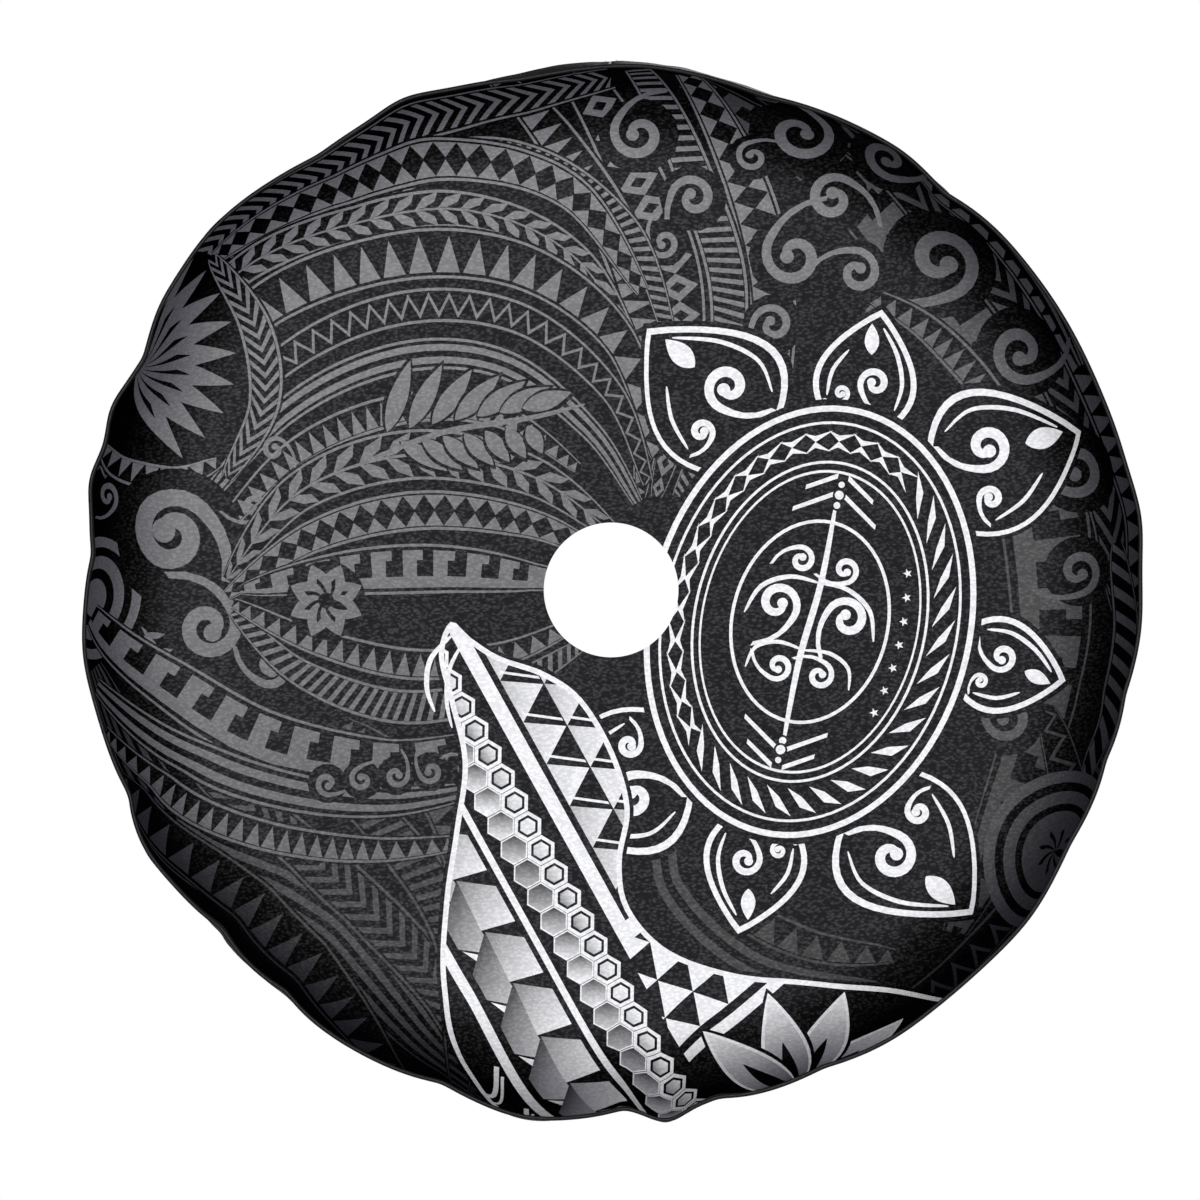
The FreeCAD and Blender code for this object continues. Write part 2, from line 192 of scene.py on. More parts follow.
def gather(v, angle):
    """How far the folds lift the band's skin, fading from the hem towards the tread."""
    away = max(CASING_V - v, 0.0)
    fine = 4.2 * MM * exp(-away / 0.022)
    middle = 3.4 * MM * smooth(away / 0.016) * exp(-away / 0.055)
    broad = 2.6 * MM * smooth(away / 0.045) * exp(-away / 0.120)
    return fine * pleat(angle, 1) + middle * pleat(angle, 2) + broad * pleat(angle, 4)


def band_base(v):
    """(radius, y, normal in radius, normal in y) of the unworn band."""
    if v < CORNER_V:
        share = v / CORNER_V
        return SEAM_R + CORNER * share, SEAM_Y + FLANGE_HALF + CORNER * share, 0.7, -0.7
    if v < TREAD_V:
        return BAND_R, TREAD_Y + v - CORNER_V, 1.0, 0.0
    if v < ROLL_V:
        bend = (v - TREAD_V) / REAR_ROLL_R
        out, back = cos(bend), sin(bend)
        return BAND_R - REAR_ROLL_R * (1 - out), REAR_Y - REAR_ROLL_R * (1 - back), out, back
    return BAND_R - REAR_ROLL_R - (v - ROLL_V), REAR_Y, 0.0, 1.0


def band_point(v, angle, lift=0.0):
    """A point of the band's outer skin: a length back from the seam, and a height above the skin."""
    seam_r, seam_y = seam(angle)
    if v < 0:
        return at(seam_r + v, seam_y + FLANGE_HALF - lift, angle)
    radius, y, out, back = band_base(v)
    reach = 0.010 + 0.034 * smooth(1 - look_up(CROWN, angle) / CROWN_DEPTH)
    radius += (seam_r - SEAM_R) * exp(-((v / reach) ** 2))
    radius += 0.25 * look_up(CROWN, angle) * exp(-(((v - 0.020) / 0.020) ** 2))
    y += (seam_y - SEAM_Y) * (1 - smooth(v / 0.16))
    worn = gather(v, angle) - CREASE_SHARE * look_up(CREASE, angle) * smooth(v / 0.02) * exp(-v / 0.05)
    joint = min(abs(turn_gap(degrees(angle), side)) for side in (90, 270)) * radians(BAND_R)
    worn -= JOINT_GROOVE * exp(-((joint / 0.0035) ** 2)) * smooth(v / 0.01)
    round_tread = Vector((cos(angle) * 9, sin(angle) * 9, v * 16))
    worn += 1.1 * MM * noise.noise(round_tread) * smooth(v / 0.03)
    return at(radius + (worn + lift) * out, y + (worn + lift) * back, angle)


# ---------------------------------------------------------------- the print, in flat mm from the centre

SHAPES = []  # (points, paint, number of the shape it is cut to); later ones lie on top
BLACK_INK = 0.006
WHITE_INK = 0.70


def black(x, z):
    return BLACK_INK


def white(x, z):
    return WHITE_INK


def grey(x, z):
    """The grey ink, lightest at the upper left."""
    return 0.078 + 0.104 * smooth(0.5 + (0.9 * z - 0.3 * x) / 900)


def dim(x, z):
    return 0.50 * grey(x, z)


def half_grey(x, z):
    return 0.70 * grey(x, z)


def fade(start, end, low, high):
    """A paint that goes from low at start to high at end."""
    along = (end[0] - start[0], end[1] - start[1])
    length = along[0] ** 2 + along[1] ** 2

    def paint(x, z):
        share = ((x - start[0]) * along[0] + (z - start[1]) * along[1]) / length
        return low + (high - low) * min(max(share, 0.0), 1.0)

    return paint


def lay(points, paint, within=None):
    SHAPES.append((points, paint, within))
    return len(SHAPES) - 1


def circle(reach, count):
    return [(reach * cos(tau * i / count), reach * sin(tau * i / count)) for i in range(count)]


def dot(x, z, size, paint, within=None, sides=14):
    return lay([(x + a, z + b) for a, b in circle(size, sides)], paint, within)


def axes(x, z, turn):
    """A place function for lengths along and across from x, z, with the axes turned by degrees."""
    c, s = cos(radians(turn)), sin(radians(turn))
    return lambda along, across: (x + along * c - across * s, z + along * s + across * c)


def spots(place, *pairs):
    return [place(*pair) for pair in pairs]


def patch(place, paint, within, *corners):
    """A shape whose corners are given to a place function."""
    return lay(spots(place, *corners), paint, within)


def curve(stops, step=5.0, closed=False):
    """A smooth line through the stops, with points about step mm apart."""
    count = len(stops)
    line = []
    for i in range(count if closed else count - 1):
        a = stops[(i - 1) % count] if closed or i > 0 else stops[0]
        b, c = stops[i], stops[(i + 1) % count]
        d = stops[(i + 2) % count] if closed or i + 2 < count else stops[-1]
        parts = max(int(dist(b, c) / step), 2)
        for k in range(parts):
            t = k / parts
            line.append(tuple(
                0.5 * (2 * b[n] + (c[n] - a[n]) * t + (2 * a[n] - 5 * b[n] + 4 * c[n] - d[n]) * t * t
                       + (3 * b[n] - a[n] - 3 * c[n] + d[n]) * t ** 3)
                for n in (0, 1)))
    return line if closed else line + [stops[-1]]


def sideways(line, closed=False):
    """Unit vectors pointing to the left of the line at each of its points."""
    count = len(line)
    normals = []
    for i in range(count):
        a = line[(i - 1) % count] if closed else line[max(i - 1, 0)]
        b = line[(i + 1) % count] if closed else line[min(i + 1, count - 1)]
        length = dist(a, b) or 1.0
        normals.append((-(b[1] - a[1]) / length, (b[0] - a[0]) / length))
    return normals


def strip(low, high, parts):
    """Places round the part of a ribbon between two shares across."""
    return [(i / parts, low) for i in range(parts + 1)] + [(i / parts, high) for i in range(parts, -1, -1)]


class Ribbon:
    """A band of ornament along a line: places on it are (share along, share across from -1 to 1)."""

    def __init__(self, stops, halves):
        self.line = curve(stops, 6.0)
        self.normals = sideways(self.line)
        self.halves = halves
        self.length = sum(dist(a, b) for a, b in zip(self.line, self.line[1:]))

    def half(self, t):
        start, middle, end = self.halves
        return start * (1 - t) * (1 - 2 * t) + middle * 4 * t * (1 - t) + end * t * (2 * t - 1)

    def spot(self, t, s):
        place = min(max(t, 0.0), 1.0) * (len(self.line) - 1)
        i = min(int(place), len(self.line) - 2)
        part = place - i
        point = [self.line[i][n] * (1 - part) + self.line[i + 1][n] * part for n in (0, 1)]
        normal = [self.normals[i][n] * (1 - part) + self.normals[i + 1][n] * part for n in (0, 1)]
        return tuple(point[n] + normal[n] * self.half(t) * s for n in (0, 1))

    def shape(self, places, paint, within=None):
        return patch(self.spot, paint, within, *places)

    def base(self, edge, line=2.2, gap=1.8):
        """The dark gap round the ribbon, its two edge lines and its black ground. Returns the ground."""
        middle = max(self.half(0.5), 3.0)
        share = 1 - line / middle if edge else 1
        parts = len(self.line) - 1
        self.shape(strip(-1 - gap / middle, 1 + gap / middle, parts), black)
        if edge:
            self.shape(strip(-1, 1, parts), edge)
        return self.shape(strip(-share, share, parts), black)


def tiles(*shapes, hole=None):
    """A fill that repeats shapes along a ribbon. Their places are (share of the cell, share across)."""
    def fill(ribbon, paint, pitch, ground):
        count = max(round(ribbon.length / pitch), 2)
        for i in range(count):
            for shape in shapes:
                ribbon.shape([((i + t) / count, s) for t, s in shape], paint, ground)
            if hole:
                ribbon.shape([((i + t) / count, s) for t, s in hole], black, ground)
    return fill


teeth = tiles([(0.06, -0.75), (0.94, -0.75), (0.5, 0.7)])
two_rows = tiles([(0, -0.78), (1, -0.78), (0.5, -0.05)], [(0, 0.78), (0.5, 0.05), (1, 0.78)])
zigzag = tiles([(0, -0.75), (0.5, 0.41), (1, -0.75), (1, -0.41), (0.5, 0.75), (0, -0.41)])
chevrons = tiles([(0, -0.8), (0.45, -0.8), (1.65, 0), (0.45, 0.8), (0, 0.8), (1.2, 0)])
comb = tiles([(0, -0.8), (0.45, -0.8), (1.25, 0.8), (0.8, 0.8)])
diamonds = tiles([(0, 0), (0.5, -0.8), (1, 0), (0.5, 0.8)],
                 hole=[(0.3, 0), (0.5, -0.34), (0.7, 0), (0.5, 0.34)])
steps = tiles([(0, -0.75), (1, -0.75), (1, -0.3), (0.7, -0.3), (0.7, 0.35), (0.9, 0.35),
               (0.9, 0.75), (0.25, 0.75), (0.25, -0.3), (0, -0.3)])
leaf_pairs = tiles(*([(0, 0.05 * side), (0.35, 0.62 * side), (1, 0.9 * side), (0.85, 0.4 * side),
                      (0.4, 0.1 * side)] for side in (-1, 1)))


def leaves(ribbon, paint, pitch, ground):
    leaf_pairs(ribbon, paint, pitch, ground)
    ribbon.shape(strip(-0.06, 0.06, 30), paint, ground)


def lines(count):
    """A fill of plain lines along the ribbon."""
    def fill(ribbon, paint, pitch, ground):
        for k in range(count):
            middle = -0.8 + 1.6 * (k + 0.5) / count
            ribbon.shape(strip(middle - 0.42 / count, middle + 0.42 / count, 40), paint, ground)
    return fill


def ornaments(paint, *table, edged=True):
    """Ribbons given by their fill, pitch, half widths at start, middle and end, and stops."""
    for fill, pitch, halves, *stops in table:
        ribbon = Ribbon(stops, halves)
        fill(ribbon, paint, pitch, ribbon.base(paint if edged else None))


def stroke(stops, thick, paint, within=None, step=4.0, taper=True):
    line = curve(stops, step)
    last = len(line) - 1
    left, right = [], []
    for i, (p, n) in enumerate(zip(line, sideways(line))):
        half = thick / 2 * ((0.25 + 0.75 * max(sin(pi * i / last), 0.0) ** 0.6) if taper else 1)
        left.append((p[0] + n[0] * half, p[1] + n[1] * half))
        right.append((p[0] - n[0] * half, p[1] - n[1] * half))
    return lay(left + right[::-1], paint, within)


def scroll(x, z, size, start, hand, thick, paint=grey, within=None, turns=1.35):
    """A scroll round x, z: a tail runs in, winds up and ends in a round eye. Start is in degrees."""
    count = max(int(turns * 22), 12)
    inner, outer = [], []
    for i in range(count + 1):
        t = i / count
        angle = radians(start) + hand * turns * tau * t
        reach = size * (1 - 0.80 * t ** 0.9) + (0.9 * size * (1 - t * 6) ** 2 if t < 1 / 6 else 0)
        width = thick * (0.32 + 0.68 * sin(pi * min(0.12 + t * 0.7, 1.0)))
        for side, points in ((-1, inner), (1, outer)):
            away = reach + side * width / 2
            points.append((x + away * cos(angle), z + away * sin(angle)))
    lay(outer + inner[::-1], paint, within)
    end = ((inner[-1][0] + outer[-1][0]) / 2, (inner[-1][1] + outer[-1][1]) / 2)
    dot(*end, thick * 0.62, paint, within)


def leaf(x, z, length, width, turn, paint, within=None, bend=0.0):
    place = axes(x, z, turn)
    left, right = [], []
    for i in range(19):
        t = i / 18
        half = width / 2 * max(sin(pi * t ** 0.85), 0.0) ** 0.9
        sway = bend * length * t * (1 - t) * 2
        left.append(place(length * t, sway + half))
        right.append(place(length * t, sway - half))
    return lay(left + right[-2:0:-1], paint, within)


def spray(x, z, length, turn, count, paint):
    """A stem with pointed leaves in pairs and one at its end."""
    place = axes(x, z, turn)
    stroke([(x, z), place(length * 0.5, 0), place(length, 0)], 3.0, paint)
    for k in range(count):
        t = (k + 0.4) / count
        size = length * (0.52 - 0.2 * t)
        for side in (-1, 1):
            leaf(*place(length * t, 0), size, size * 0.34, turn + side * 50, paint, None, side * -0.2)
    leaf(*place(length, 0), length * 0.34, length * 0.13, turn, paint)


def petals(x, z, reach, first, last, count, paint, within=None):
    """A fan of pointed petals round one foot."""
    width = reach * radians(abs(last - first) / count) * 0.78
    for k in range(count):
        turn = first + (last - first) * (k + 0.5) / count
        leaf(x, z, reach, width, turn, paint, within)
        leaf(x, z, reach * 0.62, width * 0.34, turn, black, within)


def rounds(x, z, reaches, paint):
    """Rings inside each other, in the paint and in black by turns."""
    for i, reach in enumerate(reaches):
        dot(x, z, reach, black if i % 2 else paint, sides=40)


def print_right():
    """The lower left and the right side, faint behind the medallion."""
    ornaments(
        dim,
        (lines(4), 9, (10, 30, 8), (-400, -60), (-330, -190), (-210, -260), (-100, -400)),
        (teeth, 20, (8, 24, 10), (-390, -150), (-290, -230), (-200, -330), (-170, -420)),
        (chevrons, 13, (6, 20, 8), (-330, -120), (-240, -190), (-130, -300), (-95, -400)),
        (comb, 10, (6, 18, 6), (-250, -110), (-170, -180), (-115, -270), (-120, -400)),
        (teeth, 14, (4, 14, 4), (-200, -100), (-130, -160), (-110, -240)),
        (steps, 36, (12, 34, 10), (60, 400), (190, 300), (300, 150), (330, -60), (260, -260)),
        (chevrons, 19, (8, 22, 8), (120, 400), (250, 290), (350, 150), (390, -20)))
    ornaments(half_grey, (teeth, 17, (6, 18, 6), (220, 360), (330, 240), (400, 90), (410, -60)))
    ornaments(
        dim,
        (zigzag, 22, (6, 26, 8), (330, -90), (350, -190), (270, -300), (160, -360)),
        (comb, 10, (4, 18, 8), (400, -100), (360, -220), (290, -320), (250, -360)))
    ornaments(half_grey, (lines(2), 9, (6, 16, 6), (190, 376), (270, 332), (335, 255), (368, 176)),
              edged=False)
    ornaments(half_grey, (comb, 17, (5, 17, 5), (384, 36), (398, -30), (392, -96), (366, -150)))
    ornaments(dim, (lines(2), 9, (8, 16, 8), (4, -110), (38, -160), (46, -226), (110, -284), (200, -300)),
              edged=False)
    ornaments(dim, (teeth, 18, (5, 13, 5), (70, -196), (92, -238), (150, -268), (214, -276)))
    rounds(346, -204, (66, 57, 50, 40, 34), half_grey)
    petals(346, -204, 32, 0, 360, 8, half_grey)
    for x, z, size, start, hand in (
            (250, 250, 34, 200, 1), (310, 180, 27, 20, -1), (352, 92, 26, 120, 1), (300, -96, 22, 80, 1),
            (215, 335, 24, 10, -1), (372, -296, 20, 60, 1), (60, -120, 17, 100, -1), (306, 96, 18, 260, -1),
            (262, 110, 19, 60, 1), (205, 205, 16, 300, -1), (352, 14, 20, 200, 1)):
        dot(x, z, size * 1.32, black, sides=24)
        scroll(x, z, size, start, hand, size * 0.34, half_grey)
    ornaments(half_grey, (teeth, 12, (4, 12, 4), (190, 226), (240, 196), (290, 140), (316, 80)))


def print_top():
    """Ribbons and scrolls that fall to the centre, and big arcs from the left rim, outermost first."""
    ornaments(
        grey,
        (two_rows, 17, (10, 18, 5), (60, 410), (105, 300), (122, 210), (112, 120), (70, 60)),
        (comb, 8, (10, 15, 4), (20, 412), (60, 320), (88, 230), (80, 140), (50, 70)),
        (diamonds, 21, (14, 20, 4), (-30, 412), (10, 330), (48, 240), (52, 150), (34, 70)),
        (teeth, 14, (10, 17, 4), (-90, 410), (-40, 340), (8, 260), (28, 170), (22, 70)))
    for x, z, size, start, hand, thick in (
            (21, 345, 24, 60, 1, 8), (62, 296, 20, 250, -1, 7), (40, 262, 14, 100, 1, 5),
            (145, 352, 31, 120, -1, 9), (168, 296, 22, 330, 1, 8), (138, 252, 27, 60, 1, 8.5),
            (122, 200, 18, 250, -1, 6), (186, 240, 20, 180, -1, 7), (108, 330, 15, 20, 1, 5)):
        dot(x, z, size * 1.28, black)
        scroll(x, z, size, start, hand, thick)
    ornaments(
        grey,
        (chevrons, 12, (10, 22, 14), (-400, 120), (-330, 235), (-225, 320), (-110, 372), (0, 400)),
        (comb, 7, (8, 15, 5), (-395, 90), (-310, 215), (-190, 300), (-80, 330), (10, 275), (45, 190)),
        (two_rows, 17, (6, 17, 5), (-300, 250), (-210, 305), (-110, 325), (-30, 300), (24, 225)),
        (leaves, 17, (5, 14, 5), (-352, 150), (-285, 232), (-195, 277), (-100, 285), (-22, 246), (26, 160)),
        (teeth, 21, (6, 19, 5), (-350, 110), (-270, 205), (-170, 250), (-70, 245), (5, 190), (35, 100)),
        (zigzag, 15, (4, 13, 4), (-330, 80), (-250, 170), (-160, 212), (-70, 205), (0, 150), (28, 80)),
        (lines(2), 9, (4, 12, 4), (-320, 50), (-245, 135), (-160, 175), (-80, 170), (-15, 120), (20, 66)),
        (teeth, 11, (4, 12, 4), (-306, 30), (-240, 102), (-160, 136), (-85, 132), (-25, 92)))


def print_left():
    """The left side: a fan of petals, scrolls, and ribbons between the rim and the oval beside the hole."""
    fan = dot(-352, 176, 92, black, sides=40)
    petals(-378, 178, 96, -62, 62, 9, grey, fan)
    ornaments(
        grey,
        (chevrons, 10, (4, 13, 4), (-302, 252), (-268, 200), (-262, 140), (-290, 84)),
        (teeth, 12, (4, 10, 6), (-296, 96), (-330, 84), (-372, 92), (-400, 110)))
    rounds(-404, -6, (48, 40, 33, 23, 15), grey)
    dot(-330, 40, 52, black, sides=30)
    scroll(-332, 42, 36, 300, 1, 15, turns=1.6)
    dot(-302, -30, 38, black, sides=30)
    scroll(-304, -28, 27, 130, -1, 11, turns=1.5)
    scroll(-256, -58, 17, 150, 1, 7.5)
    spray(-354, -28, 30, -52, 2, grey)
    for x, z, size in ((-386, 72, 13), (-270, 62, 13), (-254, 106, 11), (-262, 10, 11)):
        scroll(x, z, size, 3 * z, 1, size * 0.36)
    ornaments(
        grey,
        (leaves, 19, (4, 19, 5), (-290, 8), (-235, 74), (-150, 102), (-60, 86), (5, 40)),
        (two_rows, 15, (4, 15, 4), (-290, -4), (-225, 40), (-145, 60), (-60, 50), (0, 22)),
        (comb, 8, (4, 13, 4), (-285, -16), (-235, -62), (-160, -88), (-85, -76), (-20, -40)),
        (teeth, 12, (4, 12, 4), (-285, -10), (-225, -38), (-150, -56), (-80, -48), (-20, -22)),
        (steps, 24, (3, 19, 3), (-280, 0), (-210, 12), (-130, 16), (-60, 10), (-20, 4)))
    dot(-215, -8, 30, black, sides=24)
    petals(-215, -8, 29, 0, 360, 8, grey)
    dot(-215, -8, 6, black)
    # a feather of long leaves between the arcs and the oval
    for k in range(7):
        leaf(-170 + 17 * k, 118 + 3 * k, 62 - 3 * k, 19, 72 - 9 * k, black)
        leaf(-169 + 17 * k, 119 + 3 * k, 57 - 3 * k, 14, 72 - 9 * k, grey)
        leaf(-160 + 16 * k, 112 + 2 * k, 46 - 3 * k, 16, -32 - 5 * k, black)
        leaf(-159 + 16 * k, 112 + 2 * k, 42 - 3 * k, 12, -32 - 5 * k, grey)
    stroke([(-196, 92), (-130, 118), (-60, 130), (-20, 140)], 4.5, grey)
    ornaments(
        grey,
        (steps, 30, (10, 22, 5), (-405, -20), (-340, -66), (-262, -112), (-170, -128), (-95, -112)),
        (lines(2), 10, (8, 15, 5), (-400, -75), (-330, -120), (-250, -150), (-170, -160), (-100, -150)))
    for k in range(5):
        x, z = -214 + 26 * k, -146 + 3 * k
        dot(x, z, 15, black)
        scroll(x, z, 10.5, 40 * k, 1 if k % 2 else -1, 4.5, turns=1.2)
    ornaments(
        grey,
        (teeth, 12, (6, 12, 5), (-398, -112), (-330, -156), (-260, -186), (-180, -196), (-110, -190)))


# The medallion's places are across and along it, from its centre.
MEDALLION_TILT = -13
place_in = axes(150.0, -24.0, MEDALLION_TILT)


def oval(turn, wide, tall):
    """A point of an oval round the medallion's centre. Turn is in degrees from its top."""
    return place_in(wide * sin(radians(turn)), tall * cos(radians(turn)))


def oval_shape(wide, tall, paint, parts=84):
    return patch(oval, paint, None, *((360 * i / parts, wide, tall) for i in range(parts)))


def scroll_in(u, v, size, start, hand, thick):
    scroll(*place_in(u, v), size, start + MEDALLION_TILT, hand, thick, white)


def print_medallion_leaf(number):
    """One of the pointed leaves round the medallion: white rim, black field, scrolls and strokes in it."""
    turn, big = 45 * number, number % 2
    foot, tip = oval(turn, 104, 140), oval(turn, 236, 262) if big else oval(turn, 196, 238)
    length = dist(foot, tip)
    heading = degrees(atan2(tip[1] - foot[1], tip[0] - foot[0]))
    hand = 1 if number in (1, 2, 5, 6) else -1
    bend = 0.24 * hand if big else 0.0
    width = length * (0.84 if big else 0.74)
    place = axes(*foot, heading)

    def beside(along, across):
        """A point in the leaf, by shares of its length and its width."""
        return place(along * length, across * width * hand + bend * length * along * (1 - along) * 2)

    for grow, paint in ((7, black), (3, white), (-1.5, black)):
        start = (foot[0] + (foot[0] - tip[0]) * grow / length, foot[1] + (foot[1] - tip[1]) * grow / length)
        field = leaf(*start, length + 2.2 * grow, width + 2 * grow, heading, paint, None, bend)
    scroll(*beside(0.47, 0.10), width * 0.19, heading + 150 * hand, hand, width * 0.075, white, field)
    scroll(*beside(0.34, -0.22), width * 0.10, heading - 120 * hand, -hand, width * 0.05, white, field)
    leaf(*beside(0.68, 0.0), length * 0.24, width * 0.15, heading - 12 * hand, white, field)
    stroke(spots(beside, (0.30, 0.36), (0.50, 0.38), (0.72, 0.26), (0.90, 0.06)), 3.4, white, field)
    stroke(spots(beside, (0.30, -0.36), (0.50, -0.36), (0.68, -0.24)), 3.0, white, field)


def print_medallion():
    """A white oval compass of scrolls and arrowheads with eight pointed leaves round it."""
    for number in range(8):
        print_medallion_leaf(number)
    for wide, tall, paint in ((128, 170, black), (123, 165, white), (118.5, 160.5, black), (112, 153, white)):
        oval_shape(wide, tall, paint)
    rim = oval_shape(110, 151, black)
    for i in range(36):
        a, b = 10 * i, 10 * i + 8.6
        if 20 < a < 220:
            patch(oval, white, rim, (a, 108, 148.5), (a + 6, 97, 134), (b + 4, 91, 127), (b - 2, 103, 142))
        else:
            patch(oval, white, rim, (a, 106, 146), (b - 4, 99, 138), (b + 3, 106, 146), (b - 4, 103, 142.5))
            patch(oval, white, rim, (a, 93, 130), (b - 4, 100, 138), (b + 3, 93, 130), (b - 4, 96, 133.5))
    for wide, tall, paint in ((88, 123, white), (86, 121, black), (82, 116, white)):
        oval_shape(wide, tall, paint)
    heart = oval_shape(80.5, 114, black)
    for k in range(4):
        wide, drop = 26 + 3 * k, 9 * k
        for side in (-1, 1):
            for top in (-1, 1):
                patch(place_in, black if k % 2 else white, heart,
                      (side * 4, top * (114 - 7 * k)), (side * wide, top * (100 - drop)),
                      (side * wide, top * (96.5 - drop)), (side * 4, top * (110 - 7 * k)))
    # the inner oval, its stem of beads and the paired scrolls
    oval_shape(60, 78, white, 60)
    oval_shape(57.5, 75.5, black, 60)
    for side in (-1, 1):
        scroll_in(side * 17, 44, 12, 200, side, 4.6)
        scroll_in(side * 27, 8, 19, 250, -side, 6.5)
        scroll_in(side * 16, -38, 12.5, 160, -side, 4.6)
        stroke(spots(place_in, (0, 30), (side * 22, 30), (side * 42, 18), (side * 50, -4)), 3.6, white)
        stroke(spots(place_in, (0, -22), (side * 20, -20), (side * 36, -28), (side * 40, -44)), 3.0, white)
    stroke(spots(place_in, (-1, 92), (1.5, 30), (-1.5, -30), (1, -96)), 5.0, white)
    for v, size in ((98, 3.4), (90, 2.6), (-92, 2.8), (-99, 3.6), (-107, 2.4), (106, 2.4)):
        dot(*place_in(0, v), size + 1.6, black)
        dot(*place_in(0, v), size, white)
    # small five-pointed marks down the right side of the oval
    for v in range(52, -57, -18):
        x, z = place_in(69.5 - 0.0022 * v * v, v)
        inner, outer = circle(1.5, 10), circle(3.6, 10)
        lay([(x + a, z + b) for i in range(10) for a, b in [outer[i] if i % 2 else inner[i]]], white)


# The sweep's places are along its stripes and to the right of them, from its tip.
sweep_in = axes(-120, -36, -61)


def stripe(end, low, high, paint, field):
    """A straight band from the sweep's tip between two distances to the right of its middle."""
    patch(sweep_in, paint, field, (-20, low), (end, low), (end, high), (-20, high))


def cell(u, v, reach):
    return [sweep_in(u + reach * sin(tau * k / 6), v + reach * cos(tau * k / 6)) for k in range(6)]


def print_corner(field):
    """Triangles over a slanting bar, in the sweep's right corner."""
    corner_in = axes(57, -362, 41)
    for i in range(-3, 8):
        for j in range(5):
            u, v = 28 * i + 14 * (j % 2), 16 + 25 * j
            patch(corner_in, white, field, (u, v), (u + 28, v), (u + 14, v + 24))
    patch(corner_in, white, field, (-90, 0), (240, 0), (240, 9), (-90, 9))


def print_triangles(field):
    """Shaded triangles on the right of the wide bar, on their own dark ground."""
    patch(sweep_in, black, field, (-20, 4), (262, 4), (250, 130), (-20, 130))
    side = 36
    for i in range(-1, 7):
        for j in range(4):
            u, v = 10 + side * i + (j % 2) * side / 2, 16 + 28 * j
            if u + side > 254:
                continue
            shade = fade(sweep_in(u, v), sweep_in(u + side / 2, v + 27), 0.34 + 0.07 * (i % 4), WHITE_INK)
            patch(sweep_in, shade, field, (u, v), (u + side, v), (u + side / 2, v + 27))
            patch(sweep_in, white, field, (u - 7, v + 3), (u + side / 2 - 7, v + 27),
                  (u + side / 2 - 4.6, v + 27), (u - 4.6, v + 3))


def print_cells(field):
    """Two staggered columns of six-sided cells: a framed one and a shaded one."""
    reach = 11.6
    for i in range(24):
        for j in (1, 0):
            u, v = 8 + 20.6 * i + 10.3 * j, -19 - 17.6 * j
            tone = 0.10 + 0.50 * abs(((i + 2 * j) % 7) / 3.5 - 1)
            lay(cell(u, v, reach), white, field)
            if j:
                core = cell(u, v, reach - 1.2)
                lay(core, fade(core[5], core[2], 0.03, tone + 0.2), field)
            else:
                lay(cell(u, v, reach - 3), black, field)
                core = cell(u, v, reach - 5.2)
                lay(core, fade(core[3], core[0], tone, WHITE_INK), field)


def print_blades(field):
    """One column of broad blades between two bars."""
    stripe(470, -58, -53, white, field)
    for i in range(11):
        u, v = 64 + 44 * i, -84
        heel, notch = (u - 34, v - 2), (u + 8, v - 4)
        patch(sweep_in, fade(sweep_in(*heel), sweep_in(u + 14, v + 22), 0.16, WHITE_INK), field,
              heel, (u - 16, v + 22), (u + 14, v + 22), notch)
        patch(sweep_in, fade(sweep_in(u - 20, v - 30), sweep_in(u + 30, v - 2), 0.012, 0.50), field,
              heel, notch, (u + 30, v - 2), (u + 12, v - 26), (u - 10, v - 26))
        patch(sweep_in, white, field, (u + 15, v - 24), (u + 33, v - 3), (u + 33, v - 15))
    stripe(470, -124, -116, white, field)


def print_foot(field):
    """Nested angles in the sweep's left corner, and shaded petals at its foot."""
    for k in range(4):
        for reach, thick in ((0, 4), (9, 2.4)):
            u = 300 + 44 * k + reach
            stroke(spots(sweep_in, (u, -128), (u + 24, -148), (u, -170)), thick, white, field, taper=False)
    for k in range(5):
        turn = 14 + 31 * k
        foot, far = (150, -408), axes(150, -408, turn)(108, 0)
        shade = fade(foot, far, 0.03, 0.66)
        for length, width, paint in ((112, 44, black), (108, 38, white), (104, 33, shade), (66, 12, black)):
            leaf(*foot, length, width, turn, paint, field)


def print_sweep():
    """The tapered white-edged field at the bottom, with slanting stripes of triangles, cells and blades."""
    edge = [(-121, -24), (-106, -36), (-84, -50), (-50, -62), (-22, -82), (2, -122), (14, -165), (8, -205),
            (14, -240), (44, -272), (96, -290), (160, -296), (215, -302), (262, -322), (300, -352),
            (180, -440), (-40, -440), (-112, -370), (-128, -300), (-126, -236), (-118, -180), (-112, -130),
            (-122, -84), (-130, -48)]
    line = curve(edge, 6, closed=True)
    normals = sideways(line, closed=True)
    for grow, paint in ((3, black), (0, white), (-4, black)):
        field = lay([(p[0] + grow * n[0], p[1] + grow * n[1]) for p, n in zip(line, normals)], paint)
    print_corner(field)
    print_triangles(field)
    # the wide bar and its short leg at the foot
    stripe(266, 0, 11, white, field)
    patch(sweep_in, white, field, (250, 11), (266, 0), (252, 90), (238, 90))
    stripe(470, -116, 0, black, field)
    print_cells(field)
    print_blades(field)
    print_foot(field)
    # a plain loop at the sweep's tip
    stroke([(-120, -34), (-136, -52), (-139, -74), (-133, -92)], 4.0, white, step=3)
    stroke([(-112, -40), (-122, -60), (-124, -84), (-120, -104)], 3.4, white, step=3)


lay(circle(440, 90), black)
print_right()
print_top()
print_left()
print_medallion()
print_sweep()

# ---------------------------------------------------------------- meshes


